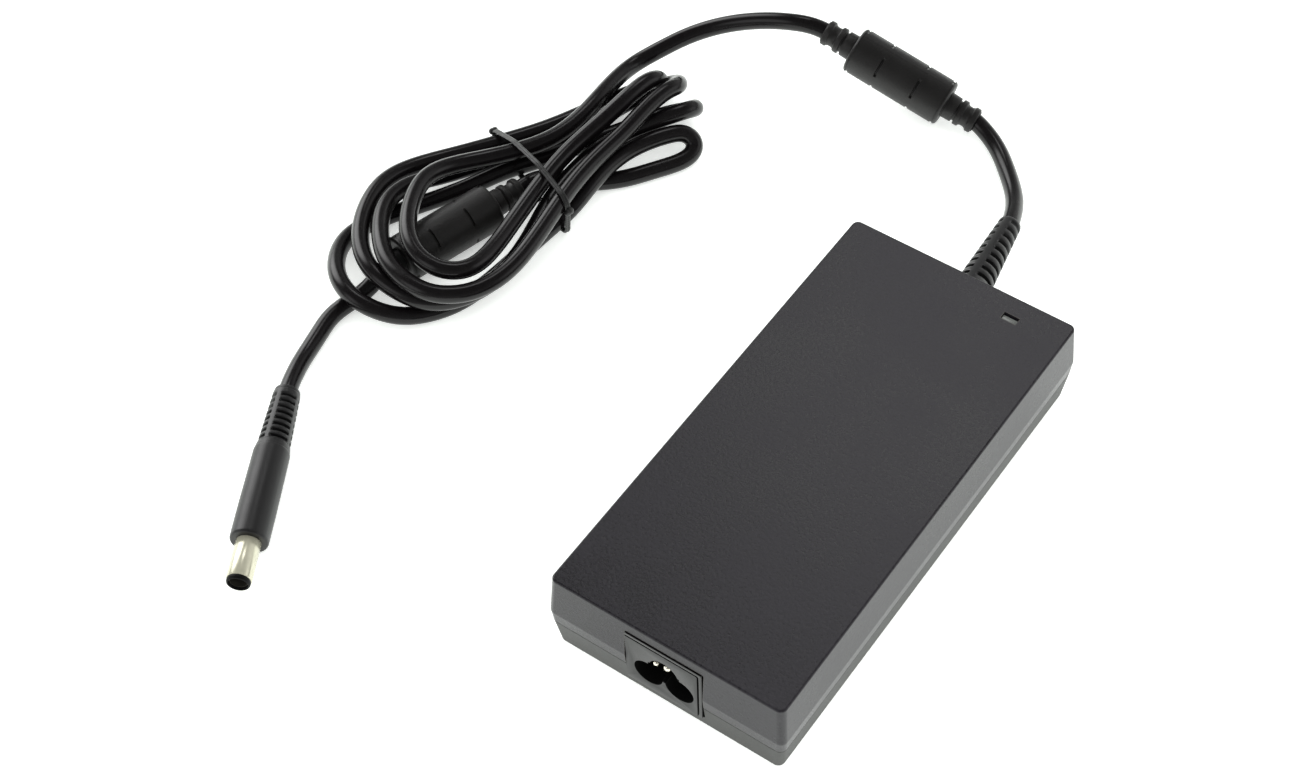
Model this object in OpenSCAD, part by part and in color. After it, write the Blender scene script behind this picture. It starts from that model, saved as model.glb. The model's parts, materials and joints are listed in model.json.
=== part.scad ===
// Laptop power adapter: slim two-shell case with a cloverleaf mains inlet, a
// moulded output lead with two ferrite cores, a tied coil and a barrel plug.
// Millimetres. The case stands on Z = 0 with its centre at X = Y = 0; the inlet
// faces -Y, the output lead leaves at +Y and the coil lies on the -X side.

/* [Case] */
// Width of the case at its widest line
case_w = 76.2; // [74:0.2:80]
// Length of the case at its widest line
case_l = 155; // [153:0.5:162]
// Overall height of the case
case_h = 30; // [29.5:0.1:31]
// Height of the joint line between the two shells
part_z = 10.6; // [10:0.1:12]
// Height of the widest line of the upper shell
wide_z = 15; // [14:0.5:17]
// Wall thickness of the shells
wall = 2.2; // [1.8:0.1:2.4]
// Radius of the upright corners
corner_r = 2.2; // [2:0.2:4]
// Gap left between the shells at the joint line
seam = 0.2; // [0.1:0.05:0.3]

/* [Inlet] */
// Width of the inlet face plate
inlet_w = 24.6; // [23:0.2:26]
// Height of the inlet face plate
inlet_h = 21.4; // [20:0.2:22]
// Spacing between the two current pins
pin_pitch = 10; // [9.8:0.1:10.2]
// Radius of each lobe of the inlet mouth
lobe_r = 4.6; // [4.4:0.1:4.8]
// Radius of the round contact pins
inlet_pin_r = 1.18; // [1.1:0.02:1.25]

/* [Cable] */
// Radius of the jacketed output cable
cable_r = 2.8; // [2.4:0.1:2.8]
// Clearance around the cable where it passes through a moulding
bore_gap = 0.2; // [0.15:0.05:0.3]
// Flats around the cable
cable_sides = 8; // [6:1:10]
// Steps between neighbouring points of the cable's route
route_steps = 3; // [3:1:4]
// Direction of the coil's long axis, in degrees from +X
coil_dir = 65.6; // [64:0.2:67]

/* [Ferrites] */
// Radius of the ferrite covers
ferrite_r = 7.65; // [7.4:0.05:7.7]
// Length of the ferrite covers
ferrite_l = 34.5; // [34:0.5:35.5]
// Length of the stepped sleeve at each cover end
sleeve_l = 11; // [10.6:0.1:11.4]
// Length of the second cover's plain sleeve, under the turns
short_sleeve_l = 5; // [4:0.5:6]

/* [Plug] */
// Outer radius of the plug barrel
barrel_r = 3.7; // [3.6:0.05:3.75]
// Length of metal barrel outside the grip
barrel_l = 12.8; // [12:0.1:13]
// Radius of the plug grip
grip_r = 5.65; // [5.5:0.05:5.75]
// Length of the plug grip
grip_l = 33.6; // [32:0.2:35]
// Length of the ribbed bend relief behind the grip
plug_relief_l = 20.2; // [20:0.1:21]

/* [Hidden] */

front_y = -case_l / 2;
bore_r = cable_r + bore_gap;
board_z = 6.2;
board_t = 1.6;
board_top = board_z + board_t;

// Colours shared by several nodes
moulding_black = [0.07, 0.07, 0.07];
cable_black = [0.05, 0.05, 0.05];
package_black = [0.12, 0.12, 0.13];
pin_metal = [0.75, 0.72, 0.66];
plug_metal = [0.8, 0.78, 0.72];
bare_metal = [0.7, 0.7, 0.72];
heatsink_metal = [0.78, 0.79, 0.8];
spreader_metal = [0.75, 0.76, 0.78];
sheet_cream = [0.9, 0.88, 0.8];
core_grey = [0.2, 0.2, 0.21];
ferrite_grey = [0.25, 0.25, 0.27];
copper = [0.75, 0.42, 0.2];

// ---------- placement helpers ----------
module up(z) translate([0, 0, z]) children();
module box(at, size) translate(at) cube(size);
// Box centred on X = 0, from y and z upward
module slab(w, l, h, y, z) box([-w / 2, y, z], [w, l, h]);
// Stands children on a point with their Z axis along dir, toward -Y or toward +X
module along(point, dir)
    translate(point) rotate([0, acos(dir[2] / norm(dir)), atan2(dir[1], dir[0])]) children();
module to_front(point) translate(point) rotate([90, 0, 0]) children();
module to_right(point) translate(point) rotate([0, 90, 0]) children();
function unit(v) = v / norm(v);

// ---------- rounded-rectangle lofts for the shells ----------
corner_steps = 7;
min_corner_r = 0.4;
function ring(z, inset, radius) = [
    for (q = [0:3]) for (k = [0:corner_steps])
        let (a = q * 90 + k * 90 / corner_steps,
             r = max(radius, min_corner_r),
             centre_x = (case_w / 2 - inset - r) * (q == 0 || q == 3 ? 1 : -1),
             centre_y = (case_l / 2 - inset - r) * (q < 2 ? 1 : -1))
        [centre_x + r * cos(a), centre_y + r * sin(a), z]];
// rows: [z, inset from the widest line, corner radius], bottom to top
module loft(rows) {
    n = 4 * (corner_steps + 1);
    top = (len(rows) - 1) * n;
    points = [for (row = rows) each ring(row[0], row[1], row[2])];
    sides = [for (j = [0:n:top - n]) for (i = [0:n - 1])
        let (next = (i + 1) % n)
        each [[j + i, j + n + i, j + n + next], [j + i, j + n + next, j + next]]];
    bottom_cap = [for (i = [0:n - 1]) i];
    top_cap = [for (i = [n - 1:-1:0]) top + i];
    polyhedron(points, concat([bottom_cap], sides, [top_cap]), convexity = 6);
}

// ---------- cable route ----------
coil_origin = [-140.5, 52.5];
// Point given as [along, across, height], along and across the coil's long axis
function on_coil(q) = [
    coil_origin[0] + q[0] * cos(coil_dir) + q[1] * sin(coil_dir),
    coil_origin[1] + q[0] * sin(coil_dir) - q[1] * cos(coil_dir),
    q[2]];
// Points of a straight run, at the given distances from its origin
function straight(origin, dir, distances) = [for (t = distances) origin + t * dir];

relief_start = [0.4, 77.5, 15]; // where the output lead leaves the case
relief_dir = unit([-5.9, 37.6, -4.9]);
relief_l = 39;
// Middle and direction of each ferrite; the stiff lead holds the first at a slant
ferrite_1_mid = [-65.3, 149.2, 12.6];
ferrite_1_dir = unit([-0.962, -0.083, 0.26]);
ferrite_2_mid = on_coil([-33.9, 6.2, 7.7]);
ferrite_2_dir = unit(on_coil([-50, 8.5, 0]) - on_coil([-11, 3, 0]));
plug_start = [-150.95, -54.75, grip_r]; // cable end of the plug's bend relief
plug_dir = unit([0.475, -0.88, 0]);
cover_reach = ferrite_l / 2 + sleeve_l; // from a cover's middle to its sleeve end

// Lead from the case through the first ferrite, [x, y, z]
lead_run = concat(
    straight(relief_start, relief_dir, [4.5, 13, 22, 31, 38.5]),
    [[-9.2, 125.2, 7], [-14.2, 133.3, 4.7], [-21, 141, 3.5], [-29.2, 147.9, 3.7]],
    straight(ferrite_1_mid, ferrite_1_dir, [-cover_reach, -cover_reach + 5, -15, -5,
        5, 15, cover_reach - 5, cover_reach]));
// From the first ferrite to the coil, [x, y, z]
flex_run = [
    [-97.3, 145.2, 21.4], [-103.7, 143, 21.3], [-111.6, 140.8, 19.4], [-120, 137.7, 16.6],
    [-127.7, 133.3, 13.6], [-134.2, 127.2, 10.8], [-139.2, 119.4, 8.6], [-143.1, 111, 7]];
// Four turns, each followed by its bend at the +Y end of the coil, [along, across, height]
coil_run = [
    // turn 1
    [42, -21.8, 8.8], [31.5, -15.4, 10.7], [21, -10.8, 10.8], [10.5, -9, 10.6],
    [0, -10.4, 10.3], [-10, -12.6, 10.6], [-20.5, -14, 12.2], [-31, -11.5, 14.8],
    [-40.5, -2.5, 17], [-47, 8.5, 18.8], [-48.8, 18.5, 19], [-45.5, 27, 18.6],
    [-38, 30.3, 17.6], [-28.5, 26.5, 15.8], [-18, 19.5, 14.6],
    // bend 1
    [-7.5, 12.7, 14.4], [3, 6.4, 14.3], [14, 1.3, 14.6], [27, -2.5, 16], [38, -5.5, 17.8],
    [46, -7.8, 18], [50.6, -8.8, 16.4], [52.6, -10.4, 12.8], [50.8, -12, 9.2],
    [46, -13.2, 6.9], [37, -14, 4.8], [26, -14, 3], [14, -14, 3.4],
    // turn 2
    [1, -15.6, 4.1], [-12, -17.3, 4], [-24, -18, 5.4], [-34, -17.5, 8], [-43, -13.5, 10.4],
    [-50, -5.5, 12.4], [-55, 5.5, 14.8], [-57, 17, 16.2], [-54, 28.5, 16.4],
    [-47.5, 34.8, 15.8], [-38.5, 37.2, 15.2], [-27, 35, 14.8], [-15.5, 29, 14.8],
    // bend 2
    [-5, 22.3, 15], [5, 16, 15], [17, 10, 15], [30, 5, 15.2], [41, 0.5, 16.2],
    [50, -2.4, 16.4], [55.4, -4.2, 14.6], [58.4, -8.8, 10.4], [56.8, -14, 5.8],
    [51.4, -18, 3.3], [44.5, -19.6, 2.9],
    // turn 3
    [37, -19.8, 2.8], [24, -20, 2.8], [12, -20.3, 3.4], [-2, -22, 4.1], [-15, -24.5, 4.2],
    [-29, -26, 5.5], [-41.5, -22.5, 8], [-52, -13.5, 9.4], [-59, -2, 10.8],
    [-61.5, 10, 12], [-58.5, 21, 10.8], [-51, 29.8, 9.5], [-39.3, 33, 9.1], [-27, 30.5, 9],
    // bend 3
    [-15, 23.8, 9.2], [-4, 15.6, 9.8], [6, 9.4, 10], [18, 3.8, 9.4], [31, 0.5, 9],
    [42, 1.4, 10.2], [50.5, 3.4, 11.4], [56.4, 3.2, 10.2], [58.8, 0.8, 7],
    [57, -2.2, 4.3], [51.4, -4.8, 3.2], [43, -6.1, 2.9],
    // turn 4
    [34, -6.8, 2.8], [22, -8, 2.8], [10, -8.4, 3.6], [-4, -9.9, 4.2], [-19, -11, 3.2],
    [-34, -12.8, 2.8], [-47, -14, 2.8], [-58, -12.5, 3.5], [-66, -5, 6], [-70.5, 5.5, 8.8],
    [-70, 16, 9], [-64, 24, 6.5], [-55, 28, 4], [-43, 29, 2.8], [-31, 26.8, 2.8],
    // bend 4
    [-18, 22.5, 2.9], [-6, 19, 4.1], [5, 16.4, 6.4], [16, 11.8, 8.6], [28, 7.5, 8.6],
    [38, 6.8, 8.6], [45, 7.6, 8.4], [49.6, 8.8, 7.6], [51.8, 11.2, 5.6],
    [50.4, 13.8, 3.6], [45, 15, 2.9], [36.5, 13.8, 2.8], [27, 12, 2.8],
    // on to the second ferrite
    [18, 8.4, 2.8], [11, 4.6, 4.2], [5.6, 2.3, 6.4]];
// From the second ferrite to the plug, [x, y, z]
tail_run = [
    on_coil([-65, 10.9, 4]),
    [-160.2, -21.5, 2.8], [-159.2, -30.5, 2.8], [-157.2, -39, 3.2], [-154.8, -46.2, 4.4]];

route = concat(lead_run, flex_run,
    [for (q = coil_run) on_coil(q)],
    straight(ferrite_2_mid, ferrite_2_dir, [-33.6, -28.6, -19.9, -8.9, 3.1, 13.1, 18.1, 23]),
    tail_run,
    straight(plug_start, plug_dir, [-1, 4, 8.5]));

// Moves B-spline knots until the curve passes close to the route points
fit_passes = 10;
function refit(points, knots) = [for (i = [0:len(points) - 1])
    let (on_curve = i == 0 || i == len(points) - 1
        ? knots[i] : (knots[i - 1] + 4 * knots[i] + knots[i + 1]) / 6)
    knots[i] + (points[i] - on_curve)];
function fit(points, knots, passes) =
    passes == 0 ? knots : fit(points, refit(points, knots), passes - 1);
// Uniform cubic B-spline between knots b and c, t from 0 to 1
function spline(a, b, c, d, t) = (a * pow(1 - t, 3)
    + b * (3 * t * t * t - 6 * t * t + 4)
    + c * (-3 * t * t * t + 3 * t * t + 3 * t + 1)
    + d * t * t * t) / 6;
fitted = fit(route, route, fit_passes);
last = len(route) - 1;
knots = concat([2 * fitted[0] - fitted[1]], fitted, [2 * fitted[last] - fitted[last - 1]]);
// Cable centre line, kept from sinking below Z = 0
curve = [for (i = [0:last - 1]) for (k = [0:route_steps - 1])
    let (c = spline(knots[i], knots[i + 1], knots[i + 2], knots[i + 3], k / route_steps))
    [c[0], c[1], max(c[2], cable_r)]];
// Stations on the curve that divide the cable into lengths
lead_stations = len(lead_run) * route_steps;
lead_end = lead_stations + 1;
flex_end = lead_stations + (len(flex_run) - 1) * route_steps;
coil_end = len(curve) - 1;

section_turn = 22.5; // rolls the flats of the cable's cross-section
function tangent(i) = unit(curve[min(i + 1, coil_end)] - curve[max(i - 1, 0)]);
// Part of v square to t, as a unit vector
function squared(v, t) = unit(v - (v * t) * t);
// Cable along stations first to end, its cross-section carried without twist
module cable(first, end) {
    count = end - first + 1;
    n = cable_sides;
    tangents = [for (i = [first:end]) tangent(i)];
    normals = [for (i = 0, u = squared([0, 0.1, 1], tangents[0]);
        i < count;
        i = i + 1, u = squared(u, tangents[min(i, count - 1)])) u];
    points = [for (i = [0:count - 1])
        let (side = cross(tangents[i], normals[i]))
        for (k = [0:n - 1])
            let (a = k * 360 / n + section_turn)
            curve[first + i] + cable_r * (cos(a) * normals[i] + sin(a) * side)];
    sides = [for (j = [0:n:(count - 2) * n]) for (k = [0:n - 1])
        let (next = (k + 1) % n)
        each [[j + k, j + next, j + n + next], [j + k, j + n + next, j + n + k]]];
    first_cap = [for (k = [n - 1:-1:0]) k];
    end_cap = [for (k = [0:n - 1]) (count - 1) * n + k];
    polyhedron(points, concat([first_cap], sides, [end_cap]), convexity = 20);
}

// ---------- case ----------
inlet_mid_z = 15.4;
inlet_gap = 0.15;
label_w = 48; // recess for the label
label_l = 92;
label_gap = 0.2;
led_x = 17.2; // corner of the lens window
led_y = 67.4;
led_w = 5;
led_gap = 0.15;

module inlet_and_lead_openings() {
    slab(w = inlet_w + 2 * inlet_gap, l = wall + 5, h = inlet_h + 2 * inlet_gap,
        y = front_y - 1, z = inlet_mid_z - inlet_h / 2 - inlet_gap);
    along(relief_start - 8 * relief_dir, relief_dir) cylinder(h = 16, r = 6.25, $fn = 48);
}
// Posts that carry the circuit board
module at_posts() for (x = [-28, 28]) for (y = [-50, 64]) translate([x, y, 0]) children();

module top_shell() color([0.18, 0.17, 0.18]) difference() {
    loft([
        [part_z + seam / 2, 0.4, corner_r],
        [wide_z, 0, corner_r],
        [case_h - 0.7, 0.94, corner_r],
        [case_h - 0.22, 1.1, corner_r],
        [case_h, 1.55, corner_r - 0.5]]);
    loft([
        [part_z - 1, wall + 0.1, corner_r - 1.5],
        [wide_z, wall + 0.1, corner_r - 1.5],
        [case_h - wall, wall + 0.95, corner_r - 1.5]]);
    inlet_and_lead_openings();
    box([led_x, led_y, case_h - wall - 1], [led_w, 2.6, wall + 2]);
}
module bottom_shell() color([0.16, 0.16, 0.16]) {
    difference() {
        loft([
            [0, 2.1, corner_r - 0.6],
            [0.6, 1.65, corner_r],
            [part_z - seam / 2, 0.42, corner_r]]);
        loft([
            [wall, wall + 1.9, corner_r - 1.5],
            [part_z + 1, wall + 1.2, corner_r - 1.5]]);
        inlet_and_lead_openings();
        slab(w = label_w, l = label_l, h = 1.25, y = -label_l / 2, z = -1);
    }
    // locating lip inside the joint line
    difference() {
        loft([
            [part_z - 2, wall + 1.1, corner_r - 1.5],
            [part_z + 1.8, wall + 0.25, corner_r - 1.5]]);
        loft([
            [part_z - 3, wall + 1.75, corner_r - 2],
            [part_z + 3, wall + 1.25, corner_r - 2]]);
        inlet_and_lead_openings();
        // room for the flange of the output bend relief
        along(relief_start - 11 * relief_dir, relief_dir) cylinder(h = 10, r = 8.1, $fn = 48);
    }
    at_posts() up(wall - 0.4) {
        cylinder(h = board_z - wall + 0.4, r = 2.4, $fn = 32);
        cylinder(h = board_top - wall + 1.2, r = 1.3, $fn = 24);
    }
}
module underside_label() color([0.12, 0.12, 0.12])
    slab(w = label_w - 2 * label_gap, l = label_l - 2 * label_gap, h = 0.2,
        y = label_gap - label_l / 2, z = 0);
module led_lens() color([0.8, 0.82, 0.8]) {
    box([led_x + led_gap, led_y + led_gap, case_h - wall - 0.6],
        [led_w - 2 * led_gap, 1.75, wall]);
    // stem reaching down toward the lamp
    box([led_x + 1, led_y + 0.25, 11.2], [3, 1.55, case_h - wall - 11.6]);
}
module led_lamp() color([0.95, 0.95, 0.9]) translate([led_x + 1.1, led_y + 0.5, board_top]) {
    cube([2.8, 2.3, 1.2]);
    translate([1.4, 1.15, 1.2]) cylinder(h = 1.6, r = 0.8, $fn = 24);
}

// ---------- mains inlet ----------
current_pin_z = 12.4;
earth_rise = 4.4;
mouth_floor_y = front_y + 15.5;
// [x, height above the current pins]: live, neutral, earth
pin_places = [[-pin_pitch / 2, 0], [pin_pitch / 2, 0], [0, earth_rise]];

// Three joined lobes, one around each pin
module cloverleaf(h) {
    for (place = pin_places) translate([place[0], place[1], 0])
        cylinder(h = h, r = lobe_r, $fn = 48);
    box([-pin_pitch / 2, -0.4, 0], [pin_pitch, earth_rise + 0.4, h]);
}
module inlet_housing() color([0.09, 0.09, 0.09]) difference() {
    union() {
        slab(w = inlet_w, l = 3.5, h = inlet_h,
            y = front_y + 0.4, z = inlet_mid_z - inlet_h / 2);
        slab(w = 22.4, l = 17, h = 17.6, y = front_y + 3.5, z = 6);
        slab(w = 28, l = 2, h = 15, y = front_y + 4.4, z = 7);
    }
    // grooves in the face above the mouth and on its +X side
    box([-inlet_w / 2 - 1, front_y - 1, inlet_mid_z + inlet_h / 2 - 1.5],
        [inlet_w + 0.05, 2.2, 0.55]);
    box([inlet_w / 2 - 1.5, front_y - 1, inlet_mid_z - inlet_h / 2 - 1],
        [0.55, 2.2, inlet_h + 0.05]);
    to_front([0, mouth_floor_y, current_pin_z]) cloverleaf(16);
    for (place = pin_places)
        to_front([place[0], front_y + 25, current_pin_z + place[1]])
            cylinder(h = 12, r = inlet_pin_r, $fn = 32);
}
// Round pin with a tapered tip, standing length l out of the mouth's floor
module inlet_pin(place, l) color(pin_metal)
    translate([place[0], mouth_floor_y, current_pin_z + place[1]]) {
        tip_l = 0.6;
        to_front([0, 0, 0]) cylinder(h = l - tip_l, r = inlet_pin_r, $fn = 32);
        to_front([0, tip_l - l, 0]) cylinder(h = tip_l, r1 = inlet_pin_r, r2 = 0.7, $fn = 32);
        to_front([0, 5, 0]) cylinder(h = 5, r = inlet_pin_r, $fn = 32);
        // flat tag behind the housing
        slab(w = 2.4, l = 3.4, h = 0.8, y = 5, z = -0.4);
    }
module inlet_live_pin() inlet_pin(pin_places[0], l = 12.3);
module inlet_neutral_pin() inlet_pin(pin_places[1], l = 12.3);
module inlet_earth_pin() inlet_pin(pin_places[2], l = 14.1);
module inlet_wires() color([0.1, 0.35, 0.7])
    for (place = pin_places) let (z = current_pin_z + place[1]) {
        translate([place[0], front_y + 26.8, board_top + 0.1])
            cylinder(h = z - board_top - 0.1 + 1.5, r = 0.9, $fn = 24);
        to_front([place[0], front_y + 27.7, z]) cylinder(h = 3.7, r = 0.9, $fn = 24);
    }

// ---------- board, screens and heatsinks ----------
sheet_t = 0.4;
spreader_t = 1;
upper_y = -52; // the upper sheet and spreader share their start and length
upper_l = 117;
upper_w = 65.2;
flange_t = 0.8;
primary_ys = [-20, -6, 8]; // devices on the primary heatsink, from -Y to +Y
secondary_xs = [5, 19];    // devices on the secondary heatsink
device_z = 19.4;           // height of every device screw
lead_pitch = 2.5;

module main_pcb() color([0.1, 0.36, 0.2]) difference() {
    slab(w = 61.6, l = 124.6, h = board_t, y = -54, z = board_z);
    at_posts() up(board_z - 1) cylinder(h = 4, r = 1.5, $fn = 24);
}
module lower_insulation_sheet() color(sheet_cream)
    slab(w = 62, l = 107.6, h = sheet_t, y = -46.8, z = 2.5);
module lower_heat_spreader() color(spreader_metal)
    slab(w = 60, l = 106.6, h = spreader_t, y = -46.3, z = 3);
module upper_insulation_sheet() color(sheet_cream)
    slab(w = 62, l = upper_l, h = sheet_t, y = upper_y, z = 25);
module upper_heat_spreader() color(spreader_metal) {
    slab(w = upper_w, l = upper_l, h = spreader_t, y = upper_y, z = 25.6);
    for (x = [-upper_w / 2, upper_w / 2 - flange_t])
        box([x, upper_y, 15], [flange_t, upper_l, 11]);
}
module primary_heatsink() color(heatsink_metal) difference() {
    union() {
        box([-29.6, -27, board_top + 0.2], [1.6, 50, 16]);
        box([-29.6, -27, 22.4], [7, 50, 1.6]);
    }
    for (y = primary_ys) to_right([-31, y, device_z]) cylinder(h = 4, r = 1.6, $fn = 32);
}
module secondary_heatsink() color(heatsink_metal) difference() {
    box([-3, 43, board_top + 0.2], [30, 1.6, 16]);
    for (x = secondary_xs) to_front([x, 46, device_z]) cylinder(h = 4, r = 1.6, $fn = 32);
}
// Cross-slotted screw, shank along +Z and head below Z = 0
module screw(l) {
    cylinder(h = l, r = 1.45, $fn = 24);
    difference() {
        up(-1.6) cylinder(h = 1.6, r = 2.7, $fn = 32);
        box([-0.3, -2, -2], [0.6, 4, 0.9]);
        box([-2, -0.3, -2], [4, 0.6, 0.9]);
    }
}
module heatsink_screws() color(bare_metal) {
    for (y = primary_ys) translate([-23.45, y, device_z]) rotate([0, -90, 0]) screw(6.6);
    for (x = secondary_xs) to_front([x, 49.1, device_z]) screw(6.3);
}
// Flat package standing against the primary heatsink, with three leads
module primary_package(y, w) {
    difference() {
        box([-27.9, y - w / 2, 9.6], [4.4, w, 12.6]);
        to_right([-29, y, device_z]) cylinder(h = 8, r = 1.7, $fn = 24);
    }
    for (k = [-1:1]) box([-26, y + k * lead_pitch - 0.35, board_top + 0.02], [0.6, 0.7, 2]);
}
module bridge_rectifier() color(package_black) primary_package(primary_ys[0], w = 15);
module power_transistors() color(package_black)
    for (i = [1, 2]) primary_package(primary_ys[i], w = 10);
module output_rectifiers() color(package_black) for (x = secondary_xs) {
    difference() {
        box([x - 5, 44.7, 9.6], [10, 4.3, 13]);
        to_front([x, 50, device_z]) cylinder(h = 8, r = 1.7, $fn = 24);
    }
    for (k = [-1:1]) box([x + k * lead_pitch - 0.35, 46.6, board_top + 0.02], [0.7, 0.6, 2]);
}

// ---------- wound parts ----------
transformer_at = [4, 24, board_top + 0.3];
core_w = 32;
core_l = 28;
core_h = 16;
axis_z = core_h / 2; // height of the winding axis above the core's base
yoke_t = 5;
limb_t = 3.4;
pfc_at = [-12, -9];
common_mode_at = [-14, -36];

module transformer_core() color(core_grey) translate(transformer_at) {
    for (y = [-core_l / 2, core_l / 2 - yoke_t])
        slab(w = core_w, l = yoke_t, h = core_h, y = y, z = 0);
    for (x = [-core_w / 2, core_w / 2 - limb_t])
        box([x, -core_l / 2, 0], [limb_t, core_l, core_h]);
    to_front([0, core_l / 2, axis_z]) cylinder(h = core_l, r = 4.4, $fn = 48);
}
module transformer_bobbin() color([0.1, 0.1, 0.1]) translate(transformer_at) difference() {
    union() {
        to_front([0, 8.8, axis_z]) cylinder(h = 17.6, r = 5.4, $fn = 48);
        for (y = [-8.8, 7.8]) slab(w = 24.6, l = 1, h = 15.4, y = y, z = 0.3);
    }
    to_front([0, 15, axis_z]) cylinder(h = 30, r = 4.45, $fn = 48);
}
module transformer_winding() color([0.85, 0.72, 0.2])
    to_front(transformer_at + [0, 0, axis_z]) difference() {
        up(-7.7) cylinder(h = 15.4, r = 7.5, $fn = 48);
        up(-9) cylinder(h = 18, r = 5.45, $fn = 48);
    }
module pfc_choke_core() color(core_grey) translate([pfc_at[0], pfc_at[1], board_top + 0.2]) {
    for (z = [0, 12.6]) slab(w = 18, l = 18, h = 2.6, y = -9, z = z);
    up(2.6) cylinder(h = 10, r = 3.6, $fn = 48);
}
module pfc_choke_winding() color(copper)
    translate([pfc_at[0], pfc_at[1], board_top + 3]) difference() {
        cylinder(h = 9.6, r = 8.2, $fn = 48);
        up(-1) cylinder(h = 12, r = 3.65, $fn = 48);
    }
module common_mode_choke_core() color([0.16, 0.3, 0.22])
    translate([common_mode_at[0], common_mode_at[1], board_top + 2.2])
        rotate_extrude($fn = 64) translate([6, 0]) square([4.2, 7]);
// Two arcs of winding, hollowed out for the core
module common_mode_choke_winding() color(copper)
    translate([common_mode_at[0], common_mode_at[1], board_top + 0.8])
        for (a = [20, 200]) rotate([0, 0, a]) difference() {
            rotate_extrude(angle = 140, $fn = 64) translate([4.6, 0]) square([7, 9.8]);
            up(1.35) rotate([0, 0, -5])
                rotate_extrude(angle = 150, $fn = 64) translate([5.95, 0]) square([4.3, 7.1]);
        }

// ---------- small parts ----------
bulk_r = 7.9;
bulk_l = 33;
bulk_y = -26;
output_can_h = 15.5;

// Two cans lying along Y, each with a raised disc on its -Y end
module bulk_capacitors() color([0.1, 0.1, 0.14])
    for (x = [7, 23.4]) translate([x, bulk_y, board_top + bulk_r + 0.2]) {
        to_front([0, bulk_l, 0]) cylinder(h = bulk_l, r = bulk_r, $fn = 48);
        to_front([0, -0.01, 0]) cylinder(h = 0.8, r = bulk_r - 1, $fn = 48);
    }
module output_capacitors() color([0.12, 0.14, 0.2])
    for (at = [[-24, 48], [-12, 48], [-12, 60]]) translate([at[0], at[1], board_top + 0.1]) {
        cylinder(h = output_can_h, r = 5, $fn = 48);
        up(output_can_h) cylinder(h = 0.4, r = 4.2, $fn = 48);
    }
module x_capacitor() color([0.75, 0.7, 0.2]) box([-1, -45, board_top + 0.1], [18, 9, 15]);
module y_capacitors() color([0.15, 0.35, 0.65])
    for (x = [24.5, 28.4]) to_right([x, -34, board_top + 5.4])
        cylinder(h = 2.2, r = 4, $fn = 32);
module fuse() color([0.85, 0.85, 0.8]) to_right([-26, -50.6, board_top + 3.1]) {
    cylinder(h = 18, r = 2.4, $fn = 32);
    // end caps
    for (z = [0, 14]) up(z) cylinder(h = 4, r = 2.7, $fn = 32);
}
module varistor() color([0.15, 0.3, 0.6])
    to_front([14, -48, board_top + 7.3]) cylinder(h = 3.6, r = 6.8, $fn = 48);
module thermistor() color([0.18, 0.2, 0.16])
    to_front([23, -42, board_top + 6.3]) cylinder(h = 4, r = 5.8, $fn = 48);
module optocouplers() color([0.93, 0.93, 0.9])
    for (x = [-24, -18.5]) box([x, 33, board_top + 0.1], [4.6, 6.5, 3.4]);
// Chips on the underside of the board
module control_chips() color([0.1, 0.1, 0.1])
    for (at = [[-8, -30], [6, 8], [12, 56]])
        box([at[0], at[1], board_z - 1.6], [6, 5, 1.55]);

// Insulated conductors from the jacket end, through the bend relief, to the board:
// [x offset, z offset, reach back from the relief's start]
output_wire_rows = [[-1.3, -0.7, 10.4], [1.3, -0.7, 10.4], [0, 1.5, 13.4]];
module output_wires() color([0.7, 0.1, 0.1]) for (row = output_wire_rows)
    let (end = relief_start - row[2] * relief_dir + [row[0], 0, row[1]]) {
        along(end, relief_dir) cylinder(h = row[2] + 2.4, r = 1, $fn = 24);
        translate([end[0], end[1], board_top + 0.1])
            cylinder(h = end[2] - board_top + 0.6, r = 1, $fn = 24);
    }

// ---------- output lead ----------
root_l = 6; // part of the relief inside the case
relief_web = 1.2; // half thickness of the web that joins the ribs
ferrite_core_l = 28;
ferrite_core_r = 6.2;
stepped_min_l = 9; // shorter sleeves stay plain
// Slots round a cover: [distance from its middle, angles]; the outer rows have two only
slot_rows = [[6.6, [0, 90, 180, 270]], [15.8, [90, 270]]];

module output_bend_relief() color(moulding_black)
    along(relief_start - root_l * relief_dir, relief_dir) difference() {
        union() {
            up(root_l) cylinder(h = relief_l, r1 = 5.9, r2 = 3.55, $fn = 64);
            cylinder(h = root_l + 0.5, r = 5.7, $fn = 64);
            // flange that anchors it behind the case wall
            up(-1.4) cylinder(h = 2.4, r = 7.4, $fn = 64);
        }
        for (k = [0:8]) for (y = [-relief_web - 8, relief_web])
            rotate([0, 0, -10]) box([-8, y, 13.9 + k * 3.53], [16, 8, 1.5]);
        up(-2) cylinder(h = relief_l + 12, r = bore_r, $fn = 48);
    }
module lead_cable() color(cable_black) cable(0, lead_end);
module flex_cable() color(cable_black) cable(lead_end, flex_end);
module coil_cable() color(cable_black) cable(flex_end, coil_end);

module sleeve(l) {
    cylinder(h = l, r = 3.55, $fn = 48);
    cylinder(h = 3.6, r = 4.25, $fn = 48);
    if (l > stepped_min_l) {
        up(4.4) cylinder(h = 1.8, r = 4.35, $fn = 48);
        up(l - 2.2) cylinder(h = 1.9, r = 4.25, $fn = 48);
    }
}
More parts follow.
